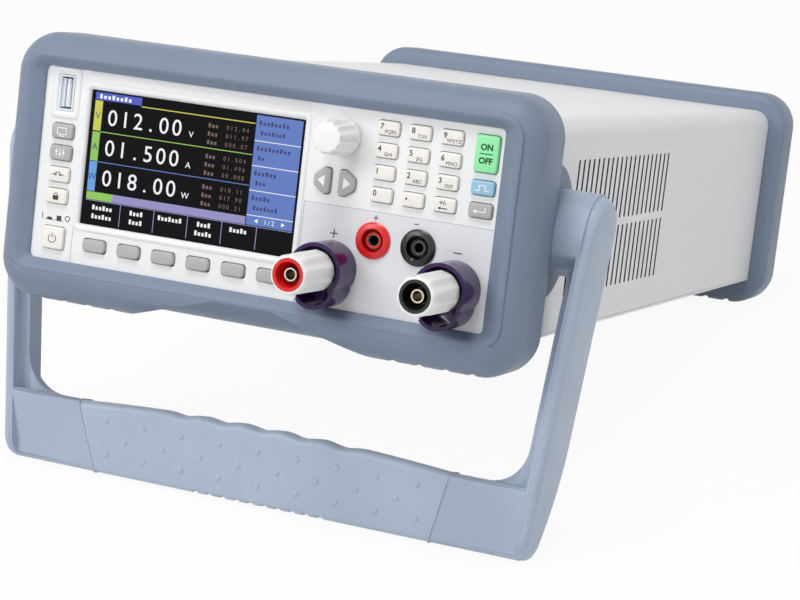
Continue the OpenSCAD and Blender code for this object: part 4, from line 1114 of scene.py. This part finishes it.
def screen_areas():
    patch("screen_blue", ROW_LEFT, 0.2, 22.5, 3.3)
    patch("screen_yellow", 22.5, 3.5, COLUMN_LEFT, 3.9)
    patch("screen_yellow", ROW_LEFT, 3.6, TAB_RIGHT, 15.8)
    patch("screen_green", ROW_LEFT, 16.3, TAB_RIGHT, 28.1)
    patch("screen_azure", ROW_LEFT, 28.4, TAB_RIGHT, 40.4)
    patch("screen_green", TAB_RIGHT, 15.95, COLUMN_LEFT, 16.3)
    patch("screen_sky", TAB_RIGHT, 28.15, COLUMN_LEFT, 28.5)
    patch("screen_sky", COLUMN_RIGHT, 0.2, ROW_RIGHT, 43.8)
    for z in MENU_LINES:
        patch("screen_white", COLUMN_RIGHT, z, ROW_RIGHT, z + 0.3, 1)
    patch("screen_green", ROW_LEFT, 40.7, 13.3, 43.9)
    patch("screen_lilac", 13.3, 40.7, COLUMN_LEFT, 43.9)
    for x in TAB_LINES:
        patch("screen_lilac", x - 0.15, 44.3, x + 0.15, 53.4)
    patch("screen_lilac", ROW_LEFT, 44.1, ROW_RIGHT, 44.35)


def screen_text():
    word_blocks("screen_white", 3.2, 1.8, 8, 1.8, 1.9)
    for reading, unit, z, tab_z, peaks in ROWS:
        digits("screen_white", reading, 9.9, z, 6.4, 5.9)
        digits("screen_white", unit, 46.0, z + 1.9, 2.4, 2)
        for i, peak in enumerate(peaks):
            digits("screen_brown", peak, 62.0, z - 2.9 + 3.35 * i, 1.7, 1.75)
            word_blocks("screen_brown", 53.4, z - 2.9 + 3.35 * i, 3, 1.7, 1.6)
    for reading, unit, z, tab_z, peaks in ROWS:
        digits("screen_navy", unit, 3.05, tab_z, 2.6, 2)
    for z, top, low in MENU:
        word_blocks("screen_navy", 75.6, z + 3.0, top, 1.8, 1.7)
        word_blocks("screen_navy", 76.6, z + 6.9, low, 1.7, 1.6)
    digits("screen_white", "1/2", 82.6, PAGE_Z, 1.9, 1.7)
    for lines, x in TABS:
        for i, count in enumerate(lines):
            word_blocks("screen_white", x - count * 0.8, 46.9 + 3.6 * i, count, 1.9, 1.6)


def screen_arrows():
    bm = sheet_of("screen_white_text", ROOT, "display_glass", "screen_white")
    for x, way in PAGE_ARROWS:
        px, pz = on_screen(x, PAGE_Z)
        tail = px - 0.7 * way
        mark(bm, [(px + 0.9 * way, pz), (tail, pz + 0.9), (tail, pz - 0.9)], GLASS_Y - SCREEN_LAYER)


screen_areas()
screen_text()
screen_arrows()
place_prints()


# Port tongue, in the pale plastic that shows in the opening

TONGUE_W, TONGUE_H, TONGUE_R = 1.9, 11.6, 0.4
TONGUE = ((9.0, 0), (1.6, 0), (1.2, 0.3))


def port_tongue():
    bm = bmesh.new()
    loft(bm, [ring_at(y, PORT_X, PORT_Z, TONGUE_W - 2 * inset, TONGUE_H - 2 * inset, TONGUE_R)
              for y, inset in TONGUE])
    add_piece("port_tongue", mesh_of(bm), ROOT, "port_white", smooth=SOFT)


port_tongue()


# Finishes of the CAD parts that stay in view

# The jack sleeves take the nickel darkened with painted shade
OWN_FINISH = {"usb_port": "port_white", "jack_sleeves": "jack_nickel_in_shade"}
for entry in frame["record"]["subparts"]:
    data = nodes[entry["node"]].data
    data.materials.clear()
    data.materials.append(FINISH[OWN_FINISH.get(entry["node"], entry["material_slot"])])


# Studio

FLOOR_HALF = 12
FLOOR_WHITE, FLOOR_ROUGH, FLOOR_GLOW = 0.88, 0.9, 0.93
AMBIENT = 0.24
LAMP_AIM = (0, 0, 0.1)
LAMPS = (("key_light", (-1.2, -2.0, 1.5), 1.4, 26), ("top_light", (0.0, -0.7, 2.3), 0.9, 25),
         ("side_light", (2.3, 0.1, 0.8), 1.2, 7.5), ("fill_light", (1.3, -2.0, 0.9), 1.2, 2))


def make_floor():
    bm = bmesh.new()
    bmesh.ops.create_grid(bm, x_segments=1, y_segments=1, size=FLOOR_HALF)
    mesh = bpy.data.meshes.new("floor")
    bm.to_mesh(mesh)
    bm.free()
    floor = bpy.data.objects.new("floor", mesh)
    scene.collection.objects.link(floor)
    finish, tree, shader = new_finish("studio_floor")
    shader.inputs["Base Color"].default_value = (FLOOR_WHITE, FLOOR_WHITE, FLOOR_WHITE, 1)
    shader.inputs["Roughness"].default_value = FLOOR_ROUGH
    glow = tree.nodes.new("ShaderNodeEmission")
    mix = tree.nodes.new("ShaderNodeMixShader")
    tree.links.new(math_node(tree, "MULTIPLY", seen_rays(tree), FLOOR_GLOW), mix.inputs["Fac"])
    tree.links.new(shader.outputs[0], mix.inputs[1])
    tree.links.new(glow.outputs[0], mix.inputs[2])
    tree.links.new(mix.outputs[0], tree.nodes["Material Output"].inputs["Surface"])
    mesh.materials.append(finish)


def seen_rays(tree):
    rays = tree.nodes.new("ShaderNodeLightPath")
    seen = math_node(tree, "MAXIMUM", rays.outputs["Is Camera Ray"], rays.outputs["Is Glossy Ray"])
    return math_node(tree, "MAXIMUM", seen, rays.outputs["Is Transmission Ray"])


def make_world():
    world = bpy.data.worlds.new("studio")
    scene.world = world
    world.use_nodes = True
    tree = world.node_tree
    sky = tree.nodes["Background"]
    sky.inputs["Color"].default_value = (1, 1, 1, 1)
    backdrop = math_node(tree, "MULTIPLY", seen_rays(tree), 1 - AMBIENT)
    tree.links.new(math_node(tree, "ADD", backdrop, AMBIENT), sky.inputs["Strength"])


def soft_box(name, place, size, power):
    data = bpy.data.lights.new(name, "AREA")
    data.shape = "DISK"
    data.size = size
    data.energy = power
    lamp = bpy.data.objects.new(name, data)
    at = Vector(place)
    aim = Vector(LAMP_AIM) - at
    lamp.matrix_world = Matrix.Translation(at) @ aim.to_track_quat("-Z", "Y").to_matrix().to_4x4()
    scene.collection.objects.link(lamp)


make_floor()
make_world()
for lamp in LAMPS:
    soft_box(*lamp)

scene.view_settings.view_transform = "Standard"
